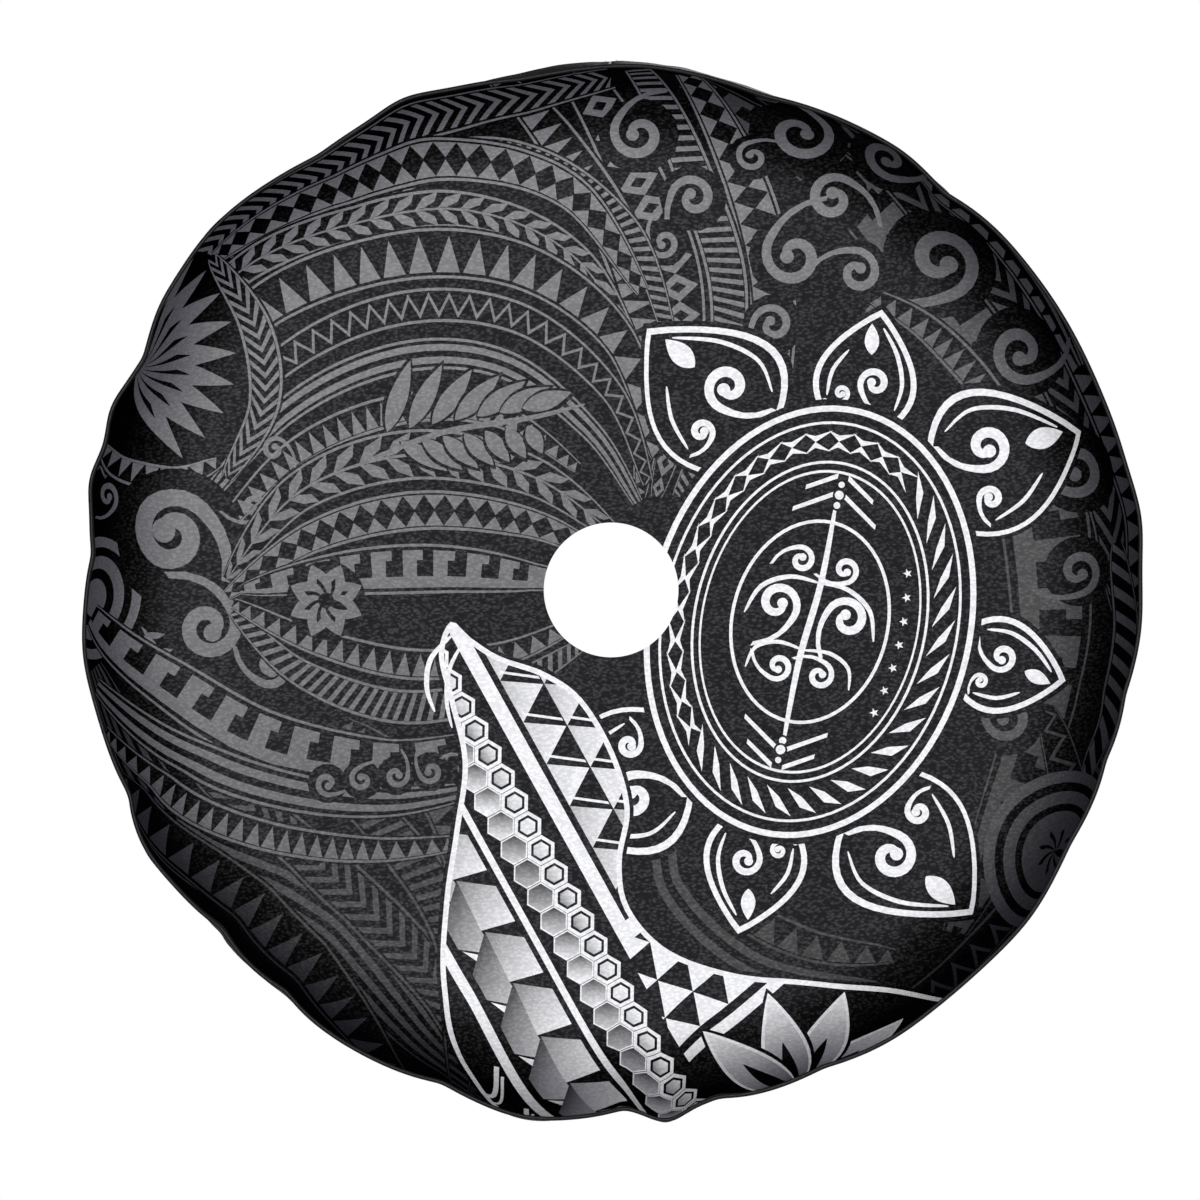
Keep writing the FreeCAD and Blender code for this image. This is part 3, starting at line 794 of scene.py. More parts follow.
def new_piece(name, verts, faces, materials):
    """A smooth-shaded mesh object that rides with the cover."""
    mesh = bpy.data.meshes.new(name)
    mesh.from_pydata(verts, [], faces)
    mesh.update()
    for material in materials:
        mesh.materials.append(material)
    mesh.polygons.foreach_set("use_smooth", [True] * len(mesh.polygons))
    piece = bpy.data.objects.new(name, mesh)
    bpy.context.scene.collection.objects.link(piece)
    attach(piece, BODY)
    return piece


def quads(rows, width, round_rows=True, round_columns=True):
    """The faces of rows of points, with the last row or column joined to the first where told."""
    faces = []
    for i in range(rows if round_rows else rows - 1):
        a, b = i * width, (i + 1) % rows * width
        for k in range(width if round_columns else width - 1):
            n = (k + 1) % width
            faces.append((a + k, b + k, b + n, a + n))
    return faces


def closed_mesh(name, verts, faces, material):
    """A closed solid whose faces are turned outwards."""
    piece = new_piece(name, verts, faces, [material])
    volume = 0.0
    for face in faces:
        for a, b in zip(face[1:], face[2:]):
            volume += verts[face[0]].cross(verts[a]).dot(verts[b])
    if volume < 0:
        piece.data.flip_normals()
    return piece


def ring(name, around, section, material):
    """A closed ring. section(angle) gives the points round its cross-section."""
    verts = [point for i in range(around) for point in section(tau * i / around)]
    return closed_mesh(name, verts, quads(around, len(verts) // around), material)


def seam_ring(name, profile, material, around=1080):
    """A ring along the seam. The profile gives lengths out from the seam and behind it."""
    def section(angle):
        seam_r, seam_y = seam(angle)
        return [at(seam_r + out, seam_y + back, angle) for out, back in profile]
    return ring(name, around, section, material)


def skin(name, rows, columns, place, materials, thick, closed=False, outwards=None):
    """A skin with thickness. place(row value, column value) gives each point of its outer side."""
    verts = [place(row, column) for row in rows for column in columns]
    piece = new_piece(name, verts, quads(len(rows), len(columns), False, closed), materials)
    face = piece.data.polygons[len(piece.data.polygons) // 2]
    if face.normal.dot(outwards or Vector((face.center.x, 0, face.center.z))) < 0:
        piece.data.flip_normals()
    solid = piece.modifiers.new("thickness", "SOLIDIFY")
    solid.thickness = thick
    solid.offset = -1
    solid.material_offset = len(materials) - 1
    solid.use_quality_normals = True
    return piece


def spread(low, high, step):
    """Even values from low towards high, about step apart, without high itself."""
    parts = max(round(abs(high - low) / step), 1)
    return [low + (high - low) * i / parts for i in range(parts)]


PITCH = 4.2 * MM
STITCH = 3.3 * MM


def stitches(name, paths, material, thick=0.30 * MM):
    """Short raised stitches. Each path is (start, end, direction away from the cloth)."""
    sides = 6
    profile = ((0, -0.4, 0.35), (0.12, 0.55, 0.85), (0.5, 0.9, 1), (0.88, 0.55, 0.85), (1, -0.4, 0.35))
    last = (len(profile) - 1) * sides
    tube = quads(len(profile), sides, False)
    tube += [tuple(range(sides)), tuple(range(last + sides - 1, last - 1, -1))]
    verts, faces = [], []
    for start, end, away in paths:
        across = (end - start).normalized().cross(away).normalized()
        faces += [tuple(len(verts) + corner for corner in face) for face in tube]
        for share, height, wide in profile:
            centre = start.lerp(end, share) + away * (thick * height)
            verts += [centre + (across * a + away * b) * (thick * wide) for a, b in circle(1, sides)]
    return closed_mesh(name, verts, faces, material)


def ring_stitches(place, side, radius):
    """Stitches round the ring on place(angle), raised towards the front (-1) or the back (1)."""
    count = round(tau * radius / PITCH)
    half = STITCH / radius / 2
    return [(place(tau * i / count - half), place(tau * i / count + half), Vector((0, side, 0)))
            for i in range(count)]


# ---------------------------------------------------------------- the printed face

DIM_FROM = 318  # mm from the centre, where the face starts to turn away and the painted rim shade begins
DIM_OVER = 80  # mm, over which the painted rim shade darkens the ink
RIM_SIDES = 900
HOLE_SIDES = 180
BETWEEN_RIMS = 100  # mm from the centre, further out than the opening's edge
LONGEST_PART = 9  # mm, of an outline's straight part before it is split
ROW_RISE = 0.866  # height of a row of even triangles, by their side


def ink_with_painted_rim_shade(tone, x, z):
    """The ink's colour with painted rim shade: where the face turns away from the light, light inks are
    painted dimmer and bluish and blacks fully dark.
    """
    share = smooth((hypot(x, z) - DIM_FROM) / DIM_OVER)
    tone = max(tone * (1 - 0.50 * share) - 0.012 * share, 0.0003)
    blueness = 0.04 + 0.35 * max(0.0, 1 - tone / 0.02) + 0.16 * share * max(0.0, 1 - tone / 0.3)
    return tone, tone, tone * (1 + blueness), 1.0


def add_lattice(points, low, high, step):
    """Points in even rows between two distances from the centre."""
    for row in range(int(2 * high / (step * ROW_RISE)) + 1):
        z = -high + row * step * ROW_RISE
        for column in range(int(2 * high / step) + 1):
            x = -high + (column + 0.5 * (row % 2)) * step
            if low < hypot(x, z) < high:
                points.append(Vector((x, z)))


def face_skin():
    """Cut the flat face along the edges of the print. Returns flat points, triangles and corner colours."""
    fold = FACE_REACH / MM
    hole = CAMERA_R / MM
    points, outlines = [], []

    def outline(loop):
        turn = sum(a[0] * b[1] - b[0] * a[1] for a, b in zip(loop, loop[1:] + loop[:1]))
        loop = loop if turn > 0 else loop[::-1]
        start = len(points)
        for a, b in zip(loop, loop[1:] + loop[:1]):
            parts = int(dist(a, b) / LONGEST_PART) + 1
            points.extend(Vector(a).lerp(Vector(b), k / parts) for k in range(parts))
        outlines.append(list(range(start, len(points))))

    outline(circle(fold + ALLOWANCE / MM, RIM_SIDES))
    outline(circle(fold, RIM_SIDES))
    outline(circle(fold - 4, 600))
    outline(circle(hole + 1.2, HOLE_SIDES))
    outline(circle(hole, HOLE_SIDES))
    first_shape = len(outlines)
    for loop, _, _ in SHAPES:
        outline(loop)
    add_lattice(points, hole + 3, fold - 6, 6.0)
    flat, _, triangles, _, _, sources = delaunay_2d_cdt(points, [], outlines, 0, 1e-3, True)
    kept, colours = [], []
    for triangle, inside in zip(triangles, sources):
        if 0 not in inside or first_shape - 1 in inside:
            continue
        drawn = {i - first_shape for i in inside}
        seen = [i for i in drawn if i >= 0 and (SHAPES[i][2] is None or SHAPES[i][2] in drawn)]
        paint = SHAPES[max(seen)][1] if seen else black
        kept.append(tuple(triangle))
        colours += [ink_with_painted_rim_shade(paint(*flat[corner]), *flat[corner]) for corner in triangle]
    used = sorted({corner for triangle in kept for corner in triangle})
    number = {old: new for new, old in enumerate(used)}
    return [flat[i].copy() for i in used], [tuple(number[c] for c in t) for t in kept], colours


def backing_skin(rims):
    """A coarser skin for the face's inner side, which has the given rim points."""
    points = [flat for rim in rims for flat in rim]
    outlines = [list(range(len(rims[0]))), list(range(len(rims[0]), len(points)))]
    for reach, count in ((FACE_REACH / MM, RIM_SIDES), (FACE_REACH / MM - 4, RIM_SIDES // 2)):
        outlines.append(list(range(len(points), len(points) + count)))
        points.extend(Vector(p) for p in circle(reach, count))
    add_lattice(points, CAMERA_R / MM + 5, FACE_REACH / MM - 8, 9.0)
    flat, _, triangles, _, _, sources = delaunay_2d_cdt(points, [], outlines, 0, 1e-5, True)
    return flat, [tuple(t) for t, inside in zip(triangles, sources) if 0 in inside and 1 not in inside]


def skin_normal(reach, angle):
    """The outward normal of the face's skin, from its slopes, on its own side of the fold."""
    if reach <= FACE_REACH + 0.1 * MM:
        reach = min(reach, FACE_REACH - 0.6 * MM)
    else:
        reach = max(reach, FACE_REACH + 1.2 * MM)
    along = face_point(reach + 0.4 * MM, angle) - face_point(reach - 0.4 * MM, angle)
    around = face_point(reach, angle + 0.001) - face_point(reach, angle - 0.001)
    return along.cross(around).normalized()


def polar(flat):
    return flat.length * MM, atan2(flat.y, flat.x)


def make_face(vinyl, knit):
    """The printed face: outer skin, coarser inner skin, and the cut edges that join them."""
    flat, triangles, colours = face_skin()
    sides = {(t[k], t[(k + 1) % 3]) for t in triangles for k in range(3)}
    edges = [edge for edge in sides if (edge[1], edge[0]) not in sides]
    rim = sorted({i for edge in edges for i in edge}, key=lambda i: polar(flat[i])[1])
    outer = [i for i in rim if flat[i].length > BETWEEN_RIMS]
    inner = [i for i in rim if flat[i].length < BETWEEN_RIMS]
    back_flat, back = backing_skin([[flat[i] for i in outer], [flat[i] for i in inner]])
    first = len(flat)
    to_back = {i: first + k for k, i in enumerate(outer + inner)}
    verts = [face_point(*polar(p)) for p in flat] + [face_point(*polar(p), VINYL) for p in back_flat]
    skins = triangles + [tuple(first + c for c in reversed(t)) for t in back]
    joins = [(b, a, to_back[a], to_back[b]) for a, b in edges]
    piece = new_piece("face_panel_printed", verts, skins + joins, [vinyl, knit])
    mesh = piece.data
    mesh.polygons.foreach_set("material_index", [0] * len(triangles) + [1] * len(back) + [0] * len(joins))
    mesh.polygons.foreach_set("use_smooth", [True] * len(skins) + [False] * len(joins))
    normals = [skin_normal(*polar(p)) for p in flat]
    sign = 1 if mesh.polygons[0].normal.dot(normals[triangles[0][0]]) > 0 else -1
    normals = [n * sign for n in normals] + [-sign * skin_normal(*polar(p)) for p in back_flat]
    loops = [normals[v] for face in skins for v in face]
    mesh.normals_split_custom_set(loops + [(0, 0, 0)] * (4 * len(joins)))
    colours += [ink_with_painted_rim_shade(BLACK_INK, 0, 0)] * (3 * len(back) + 4 * len(joins))
    # The "print" colours hold the printed inks and, towards the rim, the painted rim shade.
    layer = mesh.color_attributes.new("print", "FLOAT_COLOR", "CORNER")
    layer.data.foreach_set("color", [part for colour in colours for part in colour])
    if sign < 0:
        mesh.flip_normals()
    return piece


# ---------------------------------------------------------------- the other pieces

LINING_REACH = FACE_REACH - 8 * MM
PIPING_HALF = 1.8 * MM
PIPING_OUT = 1.66 * MM  # from the seam to the middle of the cord
CORD_TUNNEL = 1.12 * MM
CORD_HALF = 1.08 * MM
LABEL_LENGTH = 46 * MM
TAPE_HALF = 11.2 * MM
TAPE_START = 5 * MM  # from the seam to the start of the joint tape
TAPE_END = 9 * MM  # from its end to the band's edge


def make_lining(fleece):
    return skin("face_lining_fleece", spread(FACING_R, LINING_REACH, 7 * MM) + [LINING_REACH],
                [tau * i / 640 for i in range(640)],
                lambda reach, angle: face_point(reach, angle, VINYL + 0.05 * MM),
                [fleece], LINING - 0.1 * MM, closed=True, outwards=Vector((0, -1, 0)))


def make_facing(felt):
    corner, edge = 0.3 * MM, FACING_R - 0.1 * MM
    profile = [(edge, corner), (edge, LINING - corner), (edge - corner, LINING), (CAMERA_R + corner, LINING),
               (CAMERA_R, LINING - corner), (CAMERA_R, corner), (CAMERA_R + corner, 0), (edge - corner, 0)]
    return ring("camera_hole_facing_ring", 240,
                lambda angle: [at(r, FACE_Y + VINYL + y, angle) for r, y in profile], felt)


def piping_profile():
    """The folded strip: two flange layers and a round fold over the cord."""
    def fold(half, flange, gap):
        turns = [pi + gap + (tau - 2 * gap) * i / 14 for i in range(15)]
        arc = [(PIPING_OUT + half * cos(turn), half * sin(turn)) for turn in turns]
        return [(-ALLOWANCE, -flange)] + arc + [(-ALLOWANCE, flange)]

    outside = fold(PIPING_HALF, FLANGE_HALF, asin(FLANGE_HALF / PIPING_HALF))
    return outside + fold(CORD_TUNNEL, 0.04 * MM, 0.05)[::-1]


def binding_profile():
    """A tape folded round the raw edges of the seam, on its inner side."""
    corners = ((-6.5, -2.4), (-11.7, -2.4), (-12.5, -1.6), (-12.5, 1.6), (-11.7, 2.4), (-6.5, 2.4),
               (-6.5, 1.9), (-12.0, 1.9), (-12.0, -1.9), (-6.5, -1.9))
    return [(out * MM, back * MM) for out, back in corners]


def seam_stitches(name, out, back, thread):
    """A row of stitches on each side of the seam's layers."""
    paths = []
    for side in (-1, 1):
        paths += ring_stitches(lambda angle: at(seam(angle)[0] + out, seam(angle)[1] + side * back, angle),
                               side, SEAM_R)
    return stitches(name, paths, thread)


def make_band(name, first, vinyl, knit):
    """Half of the band, from an angle in degrees."""
    rows = ([-ALLOWANCE, -ALLOWANCE * 0.66, -ALLOWANCE * 0.33, -1.2 * MM, -0.3 * MM]
            + spread(0.2 * MM, CORNER_V, 0.9 * MM) + spread(CORNER_V, TREAD_V, 6 * MM)
            + spread(TREAD_V, ROLL_V, 3.2 * MM) + spread(ROLL_V, BAND_V, 2.2 * MM) + [BAND_V])
    columns = [radians(first + 180 * i / 500) for i in range(501)]
    gap = 0.12 * MM / BAND_R
    columns[0] += gap
    columns[-1] -= gap
    return skin(name, rows, columns, band_point, [vinyl, knit], VINYL)


def make_casing(cloth):
    """The hem tape: folded over the gathered edge, with the elastic lying in the fold."""
    half = 1.4 * MM
    inside = [CASING_V, CASING_V + 4 * MM, BAND_V - 1 * MM, HEM_V - 4 * MM]
    loop = [(v, 0.80 * MM) for v in spread(CASING_V, HEM_V - half, 2.4 * MM)]
    loop += [(HEM_V - half + half * sin(turn), -0.6 * MM + half * cos(turn))
             for turn in (0.0, 0.5, 1.05, 1.57, 2.1, 2.65, 3.14)]
    loop += [(v, -2.0 * MM) for v in spread(HEM_V - half, CASING_V, 2.4 * MM) + [CASING_V]]
    loop += [(v, -1.3 * MM) for v in inside] + [(HEM_V - 1.6 * MM, -0.6 * MM)]
    loop += [(v, 0.08 * MM) for v in reversed(inside)]

    def section(angle):
        crimp = 0.25 * sin(PLEATS * 3 * angle + look_up(PHASE, angle) * 2)
        points = []
        for v, lift in loop:
            swell = 1.0 * MM * sin(pi * min(max((v - BAND_V) / (HEM_V - BAND_V), 0.0), 1.0))
            points.append(band_point(v, angle, lift + swell * ((1 if lift > -0.5 * MM else -1) + crimp)))
        return points

    return ring("hem_casing_gathered", 1176, section, cloth)


def make_elastic(rubber):
    loop = ((14.2, -0.2), (9.8, -0.15), (5.5, -0.15), (1.3, -0.2), (1.3, -1.0), (5.5, -1.05), (9.8, -1.05),
            (14.2, -1.0))
    return ring("hem_elastic_band", 1008,
                lambda angle: [band_point(HEM_V - inward * MM, angle, lift * MM) for inward, lift in loop],
                rubber)


def hem_stitches(name, radius, thread):
    """A row of stitches through the hem, seen on both sides."""
    v = ROLL_V + (BAND_R - REAR_ROLL_R) - radius
    paths = []
    for lift, side in ((0.85 * MM, 1), (-2.05 * MM, -1)):
        paths += ring_stitches(lambda angle: band_point(v, angle, lift), side, radius)
    return stitches(name, paths, thread)


def make_joint_tape(name, side, tape):
    """The tape inside a joint of the band."""
    end = BAND_V - TAPE_END
    halves = [TAPE_HALF, 8 * MM, 4.5 * MM, 1.5 * MM]
    return skin(f"band_joint_tape_{name}_strip", spread(TAPE_START, end, 4 * MM) + [end],
                [-across for across in halves] + [0.0] + halves[::-1],
                lambda v, across: band_point(v, radians(side) + across / BAND_R, -VINYL - 0.12 * MM),
                [tape], 0.5 * MM)


def make_joint_stitches(name, side, thread):
    """The two rows of stitches that hold a joint of the band, seen on both sides."""
    paths = []
    for across in (-4.25 * MM, 4.25 * MM):
        angle = radians(side) + across / BAND_R
        for i in range(int((BAND_V - 16 * MM) / PITCH)):
            v = 6 * MM + i * PITCH
            middle = v + STITCH / 2
            away = (band_point(middle, angle, 1 * MM) - band_point(middle, angle)).normalized()
            for lift, sign in ((0.06 * MM, 1), (-VINYL - 0.68 * MM, -1)):
                paths.append((band_point(v, angle, lift), band_point(v + STITCH, angle, lift), away * sign))
    return stitches(f"band_joint_stitches_{name}", paths, thread)


def make_label(satin_cloth):
    """A small blank label whose far edge lifts a little off the band."""
    first, last = 262.95, 268.35
    low_y = 18 * MM

    def place(y, turn):
        free = smooth((last - 2.0 - turn) / (last - 2.0 - first))
        curl = free * free * (2.6 + 1.4 * (y - low_y) / LABEL_LENGTH) * MM
        return band_point(y + CORNER_V - TREAD_Y, radians(turn), -VINYL - 0.25 * MM - curl)

    return skin("care_label_satin", [low_y + LABEL_LENGTH * i / 24 for i in range(25)],
                [first + (last - first) * i / 20 for i in range(21)], place, [satin_cloth], 0.4 * MM)


def make_splice(thread):
    """A box of white stitches where the ends of the elastic overlap, at the bottom."""
    a, b, c, d = [(-10 * MM, 3 * MM), (10 * MM, 3 * MM), (10 * MM, 12 * MM), (-10 * MM, 12 * MM)]
    paths = []
    for start, end in ((a, b), (b, c), (c, d), (d, a), (a, c), (b, d)):
        count = max(round(dist(start, end) / (2.6 * MM)), 1)
        for i in range(count):
            ends = []
            for share in ((i + 0.08) / count, (i + 0.92) / count):
                across, inward = Vector(start).lerp(Vector(end), share)
                ends.append(band_point(HEM_V - inward, radians(270) + across / HEM_R, -0.15 * MM))
            paths.append((*ends, Vector((0, 1, 0))))
    return stitches("elastic_splice_stitches", paths, thread, thick=0.16 * MM)


# ---------------------------------------------------------------- materials


class Nodes:
    """A shader node tree under construction."""

    def __init__(self, tree):
        self.tree = tree

    def connect(self, value, socket):
        """Give a socket its value, or link another node's output to it."""
        if isinstance(value, bpy.types.NodeSocket):
            self.tree.links.new(value, socket)
        else:
            socket.default_value = value

    def node(self, kind, output, inputs=None, **settings):
        """A new node with its settings and inputs. Returns the named output."""
        node = self.tree.nodes.new("ShaderNode" + kind)
        for name, value in settings.items():
            setattr(node, name, value)
        for key, value in (inputs or {}).items():
            self.connect(value, node.inputs[key])
        return node.outputs[output]

    def remap(self, value, low, high, to_low, to_high):
        ends = {"From Min": low, "From Max": high, "To Min": to_low, "To Max": to_high}
        return self.node("MapRange", "Result", {"Value": value, **ends})


class Paint(Nodes):
    """A procedural material under construction."""

    def __init__(self, name, roughness=0.5, specular=0.5):
        self.material = bpy.data.materials.new(name)
        self.material.use_nodes = True
        super().__init__(self.material.node_tree)
        self.surface("Roughness", roughness)
        self.surface("Specular IOR Level", specular)
        self.place = self.node("TexCoord", "Object")

    def surface(self, key, value):
        self.connect(value, self.tree.nodes["Principled BSDF"].inputs[key])

    def scaled(self, x, y, z):
        return self.node("Mapping", "Vector", {"Vector": self.place, "Scale": (x, y, z)})

    def noise(self, scale, detail, distortion=0.0):
        vector = self.scaled(scale, scale, scale)
        inputs = {"Vector": vector, "Scale": 1.0, "Detail": detail, "Distortion": distortion}
        return self.node("TexNoise", "Fac", inputs)

    def weave(self, x, y, z):
        vector = self.scaled(x, y, z)
        return self.node("TexWave", "Fac", {"Vector": vector, "Scale": 1.0, "Distortion": 0.6})

    def maths(self, operation, a, b):
        return self.node("Math", "Value", {0: a, 1: b}, operation=operation)

    def add(self, a, b):
        """The sum of two vectors or colours."""
        return self.node("VectorMath", 0, {0: a, 1: b}, operation="ADD")

    def bump(self, height, strength, distance):
        normal = self.node("Bump", "Normal", {"Height": height, "Strength": strength, "Distance": distance})
        self.surface("Normal", normal)

    def scale_by(self, colour, by):
        return self.node("VectorMath", 0, {0: colour, "Scale": by}, operation="SCALE")

    def shade(self, colour, by):
        """The base colour, multiplied by a value."""
        self.surface("Base Color", self.scale_by(colour, by))


def pebble(paint, wide, tall, deep):
    """Fine wavy grain, longer across than up."""
    warp = paint.maths("MULTIPLY", paint.noise(120, 1.0), 1.6)
    warped = paint.add(paint.scaled(1 / wide, 1 / deep, 1 / tall), warp)
    grain = paint.node("TexVoronoi", "Distance", {"Vector": warped, "Scale": 1.0, "Smoothness": 0.6},
                       feature="SMOOTH_F1")
    fine = paint.maths("MULTIPLY", paint.noise(900, 2.0), 0.35)
    return paint.maths("ADD", paint.remap(grain, 0.05, 0.75, 1.0, 0.0), fine)


def printed_vinyl():
    paint = Paint("printed_vinyl_skin")
    height = pebble(paint, wide=3.2 * MM, tall=1.9 * MM, deep=2.6 * MM)
    # The "print" colours carry the printed inks and the painted rim shade where the face turns away.
    print_and_rim_shade = paint.node("Attribute", "Color", attribute_name="print")
    # The print is painted lighter on the grain's raised pebbles and darker in its dips, as painted shade of
    # the grain.
    grained_print_and_shade = paint.scale_by(print_and_rim_shade, paint.remap(height, 0.25, 1.15, 0.85, 1.10))
    away = paint.node("VectorMath", "Value", {0: paint.scaled(1, 0, 1)}, operation="LENGTH")
    # 1 in the middle, near 0 at the rim: takes away the painted grain highlights and the gloss where the face
    #                                     turns away, as painted rim shade.
    highlight_fade_at_rim = paint.remap(away, 325 * MM, 385 * MM, 1.0, 0.02)
    # Painted highlights on the raised pebbles, added to the base colour.
    painted_grain_highlight = paint.maths("MULTIPLY", paint.remap(height, 0.45, 1.15, 0.0, 0.030), highlight_fade_at_rim)
    paint.surface("Base Color", paint.add(grained_print_and_shade, painted_grain_highlight))
    paint.surface("Specular IOR Level", paint.maths("MULTIPLY", highlight_fade_at_rim, 0.08))
    paint.surface("Roughness", paint.remap(height, 0.2, 1.2, 0.62, 0.40))
    paint.bump(height, 0.7, 0.4 * MM)
    return paint.material


def plain_vinyl():
    paint = Paint("plain_black_vinyl", specular=0.17)
    height = pebble(paint, wide=3.2 * MM, tall=3.2 * MM, deep=3.2 * MM)
    paint.shade((0.0065, 0.0065, 0.008), paint.remap(height, 0.25, 1.15, 0.8, 1.25))
    paint.surface("Roughness", paint.remap(height, 0.2, 1.2, 0.50, 0.38))
    paint.bump(height, 0.35, 0.3 * MM)
    return paint.material


def fabric(name, colour, pitch, contrast=0.25, sheen=0.0):
    """A woven or knitted cloth with threads at the given pitch."""
    paint = Paint(name, 0.8, 0.25)
    across = paint.weave(0.5 / pitch, 0.5 / pitch, 0)
    along = paint.weave(0, 0.35 / pitch, 0.6 / pitch)
    fuzz = paint.maths("MULTIPLY", paint.noise(2200, 3.0), 0.6)
    height = paint.maths("ADD", paint.maths("MULTIPLY", across, along), fuzz)
    paint.shade(colour, paint.remap(height, 0.1, 1.2, 1 - contrast, 1 + contrast))
    paint.bump(height, 0.5, pitch * 0.35)
    paint.surface("Sheen Weight", sheen)
    return paint.material


def napped(name, colour, scale=900, strength=0.7, sheen=0.5):
    """A soft cloth with a brushed or felted surface."""
    paint = Paint(name, 0.95, 0.15)
    fuzz = paint.maths("MULTIPLY", paint.noise(scale, 3.0), 0.7)
    height = paint.maths("ADD", paint.noise(scale * 0.25, 4.0, 0.8), fuzz)
    paint.shade(colour, paint.remap(height, 0.5, 1.2, 0.78, 1.18))
    paint.bump(height, strength, 0.6 * MM)
    paint.surface("Sheen Weight", sheen)
    return paint.material


def thread_paint(name, colour):
    """Twisted sewing thread."""
    paint = Paint(name, 0.45, 0.5)
    twist = paint.noise(3500, 1.0)
    paint.shade(colour, paint.remap(twist, 0.3, 0.7, 0.7, 1.3))
    paint.bump(twist, 0.4, 0.08 * MM)
    return paint.material


def satin(name, colour):
    paint = Paint(name, 0.32, 0.5)
    ridges = paint.weave(0, 900, 0)
    paint.shade(colour, paint.remap(ridges, 0.0, 1.0, 0.94, 1.04))
    paint.bump(ridges, 0.2, 0.08 * MM)
    paint.surface("Anisotropic", 0.4)
    return paint.material


# ---------------------------------------------------------------- assembly


def keep(piece, node):
    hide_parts(node)
    return piece


def ring_area(outer, inner):
    return pi * (outer ** 2 - inner ** 2)


def build_front():
    """The printed face with its lining and facing, and what is sewn into the seam."""
    vinyl = plain_vinyl()
    knit = fabric("knitted_backing", (0.42, 0.42, 0.40), 0.9 * MM)
    fleece = napped("brushed_fleece", (0.36, 0.36, 0.355))
    felt = napped("non_woven_facing", (0.055, 0.055, 0.06), 1500, 0.4, 0.1)
    tape = fabric("binding_tape_weave", (0.02, 0.02, 0.022), 0.7 * MM)
    filler = fabric("cord_filler_twist", (0.55, 0.53, 0.48), 0.8 * MM)
    thread = thread_paint("black_sewing_thread", (0.014, 0.014, 0.016))

    keep(make_face(printed_vinyl(), knit), "face_panel")
    keep(make_lining(fleece), "face_lining")
    keep(make_facing(felt), "camera_hole_facing")
    keep(seam_ring("piping_cover_strip", piping_profile(), vinyl), "piping_cover")
    cord = [(PIPING_OUT + out, back) for out, back in circle(CORD_HALF, 12)]
    keep(seam_ring("piping_cord_filler", cord, filler), "piping_cord")
    binding = seam_ring("face_seam_binding_tape", binding_profile(), tape)
    keep(binding, "face_seam_binding")
    for name, out, back, node in (("face_seam_stitches", -3.4 * MM, 1.95 * MM, "face_seam_thread"),
                                  ("binding_stitches", -8.4 * MM, 2.45 * MM, "binding_thread")):
        keep(seam_stitches(name, out, back, thread), node)
    return vinyl, knit, tape, thread


def build_back(vinyl, knit, tape, thread):
    """The band with its joints, and the hem with its elastic and label."""
    for side, first in (("left", -90), ("right", 90)):
        half = make_band(f"band_half_{side}", first, vinyl, knit)
        keep(half, f"band_panel_{side}")
    for name, side in (("top", 90), ("bottom", 270)):
        keep(make_joint_tape(name, side, tape), f"band_joint_tape_{name}")
        keep(make_joint_stitches(name, side, thread), f"band_joint_thread_{name}")

    cloth = fabric("casing_tape_weave", (0.018, 0.018, 0.02), 0.8 * MM, sheen=0.2)
    keep(make_casing(cloth), "hem_casing")
    rubber = fabric("elastic_weave", (0.62, 0.62, 0.60), 1.3 * MM, contrast=0.15)
    keep(make_elastic(rubber), "hem_elastic")
    keep(hem_stitches("hem_stitches_inner", 317.75 * MM, thread), "hem_thread_inner")
    keep(hem_stitches("hem_stitches_outer", 322.25 * MM, thread), "hem_thread_outer")
    white_thread = thread_paint("white_sewing_thread", (0.78, 0.78, 0.76))
    keep(make_splice(white_thread), "elastic_splice_thread")
    keep(make_label(satin("white_label_satin", (0.80, 0.80, 0.79))), "care_label")


def declare_sheets():
    """Work out how large the face, the lining and the facing are when laid flat; the areas are not used."""
    reach = FACE_REACH + ALLOWANCE
    ring_area(reach, CAMERA_R)
    ring_area(LINING_REACH, FACING_R)
    ring_area(FACING_R, CAMERA_R)


# ---------------------------------------------------------------- floor, light and camera


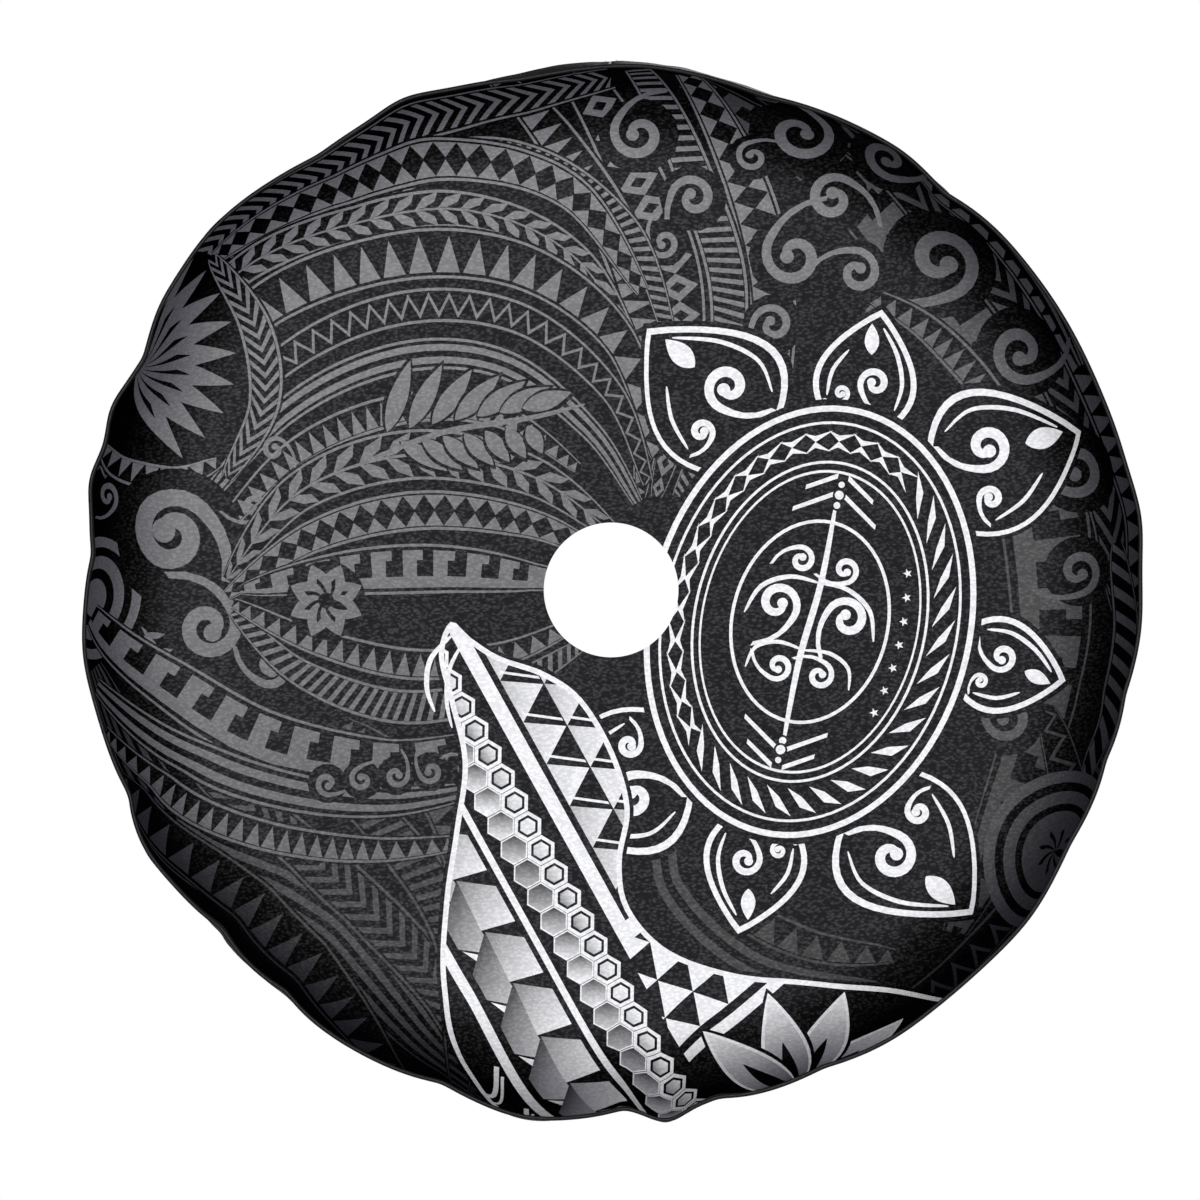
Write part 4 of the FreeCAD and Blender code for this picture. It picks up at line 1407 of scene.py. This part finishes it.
def make_floor():
    drop, reach, sides = 0.62, 1.7, 96
    mesh = bpy.data.meshes.new("floor")
    mesh.from_pydata([(x, y, -drop) for x, y in circle(reach, sides)], [], [tuple(range(sides))])
    floor = bpy.data.objects.new("floor", mesh)
    bpy.context.scene.collection.objects.link(floor)
    paint = Paint("floor_paper", 0.8, 0.2)
    paint.surface("Base Color", (0.86, 0.86, 0.86, 1))
    mesh.materials.append(paint.material)


def make_light(name, place, size, power):
    """A round lamp that looks at the cover's centre."""
    light = bpy.data.lights.new(name, "AREA")
    light.shape = "DISK"
    light.size = size
    light.energy = power
    lamp = bpy.data.objects.new(name, light)
    lamp.location = place
    lamp.rotation_euler = (-Vector(place)).to_track_quat("-Z", "Y").to_euler()
    bpy.context.scene.collection.objects.link(lamp)


def make_world():
    """White behind the cover, and a soft grey light from all round."""
    world = bpy.data.worlds.new("studio")
    bpy.context.scene.world = world
    world.use_nodes = True
    nodes = Nodes(world.node_tree)
    facing = nodes.node("SeparateXYZ", "Y", {0: nodes.node("TexCoord", "Generated")})
    soft = nodes.remap(facing, -0.6, 0.7, 0.34, 0.02)
    seen = nodes.node("LightPath", "Is Camera Ray")
    background = world.node_tree.nodes["Background"].inputs
    nodes.connect(nodes.remap(seen, 0.0, 1.0, soft, 1.0), background["Strength"])
    background["Color"].default_value = (1, 1, 1, 1)


def make_camera():
    """Square on to the face, from far enough that the band hides behind it."""
    distance = 6.0
    width = 0.9112  # of the view, at the seam
    data = bpy.data.cameras.new("camera")
    data.sensor_width = 36
    data.lens = 36 * distance / width
    data.clip_end = 50
    camera = bpy.data.objects.new("camera", data)
    camera.location = (-0.0084, SEAM_Y - distance, -0.0076)
    camera.rotation_euler = (pi / 2, 0, 0)
    bpy.context.scene.collection.objects.link(camera)
    bpy.context.scene.camera = camera


build_back(*build_front())
declare_sheets()
make_floor()
make_light("key", (-0.5, -3.2, 0.3), size=1.6, power=88)
make_light("fill", (1.6, -2.4, -0.2), size=1.2, power=14)
make_light("back", (0.9, 2.2, 2.4), size=1.6, power=34)
make_world()
make_camera()
bpy.context.scene.view_settings.view_transform = "Standard"
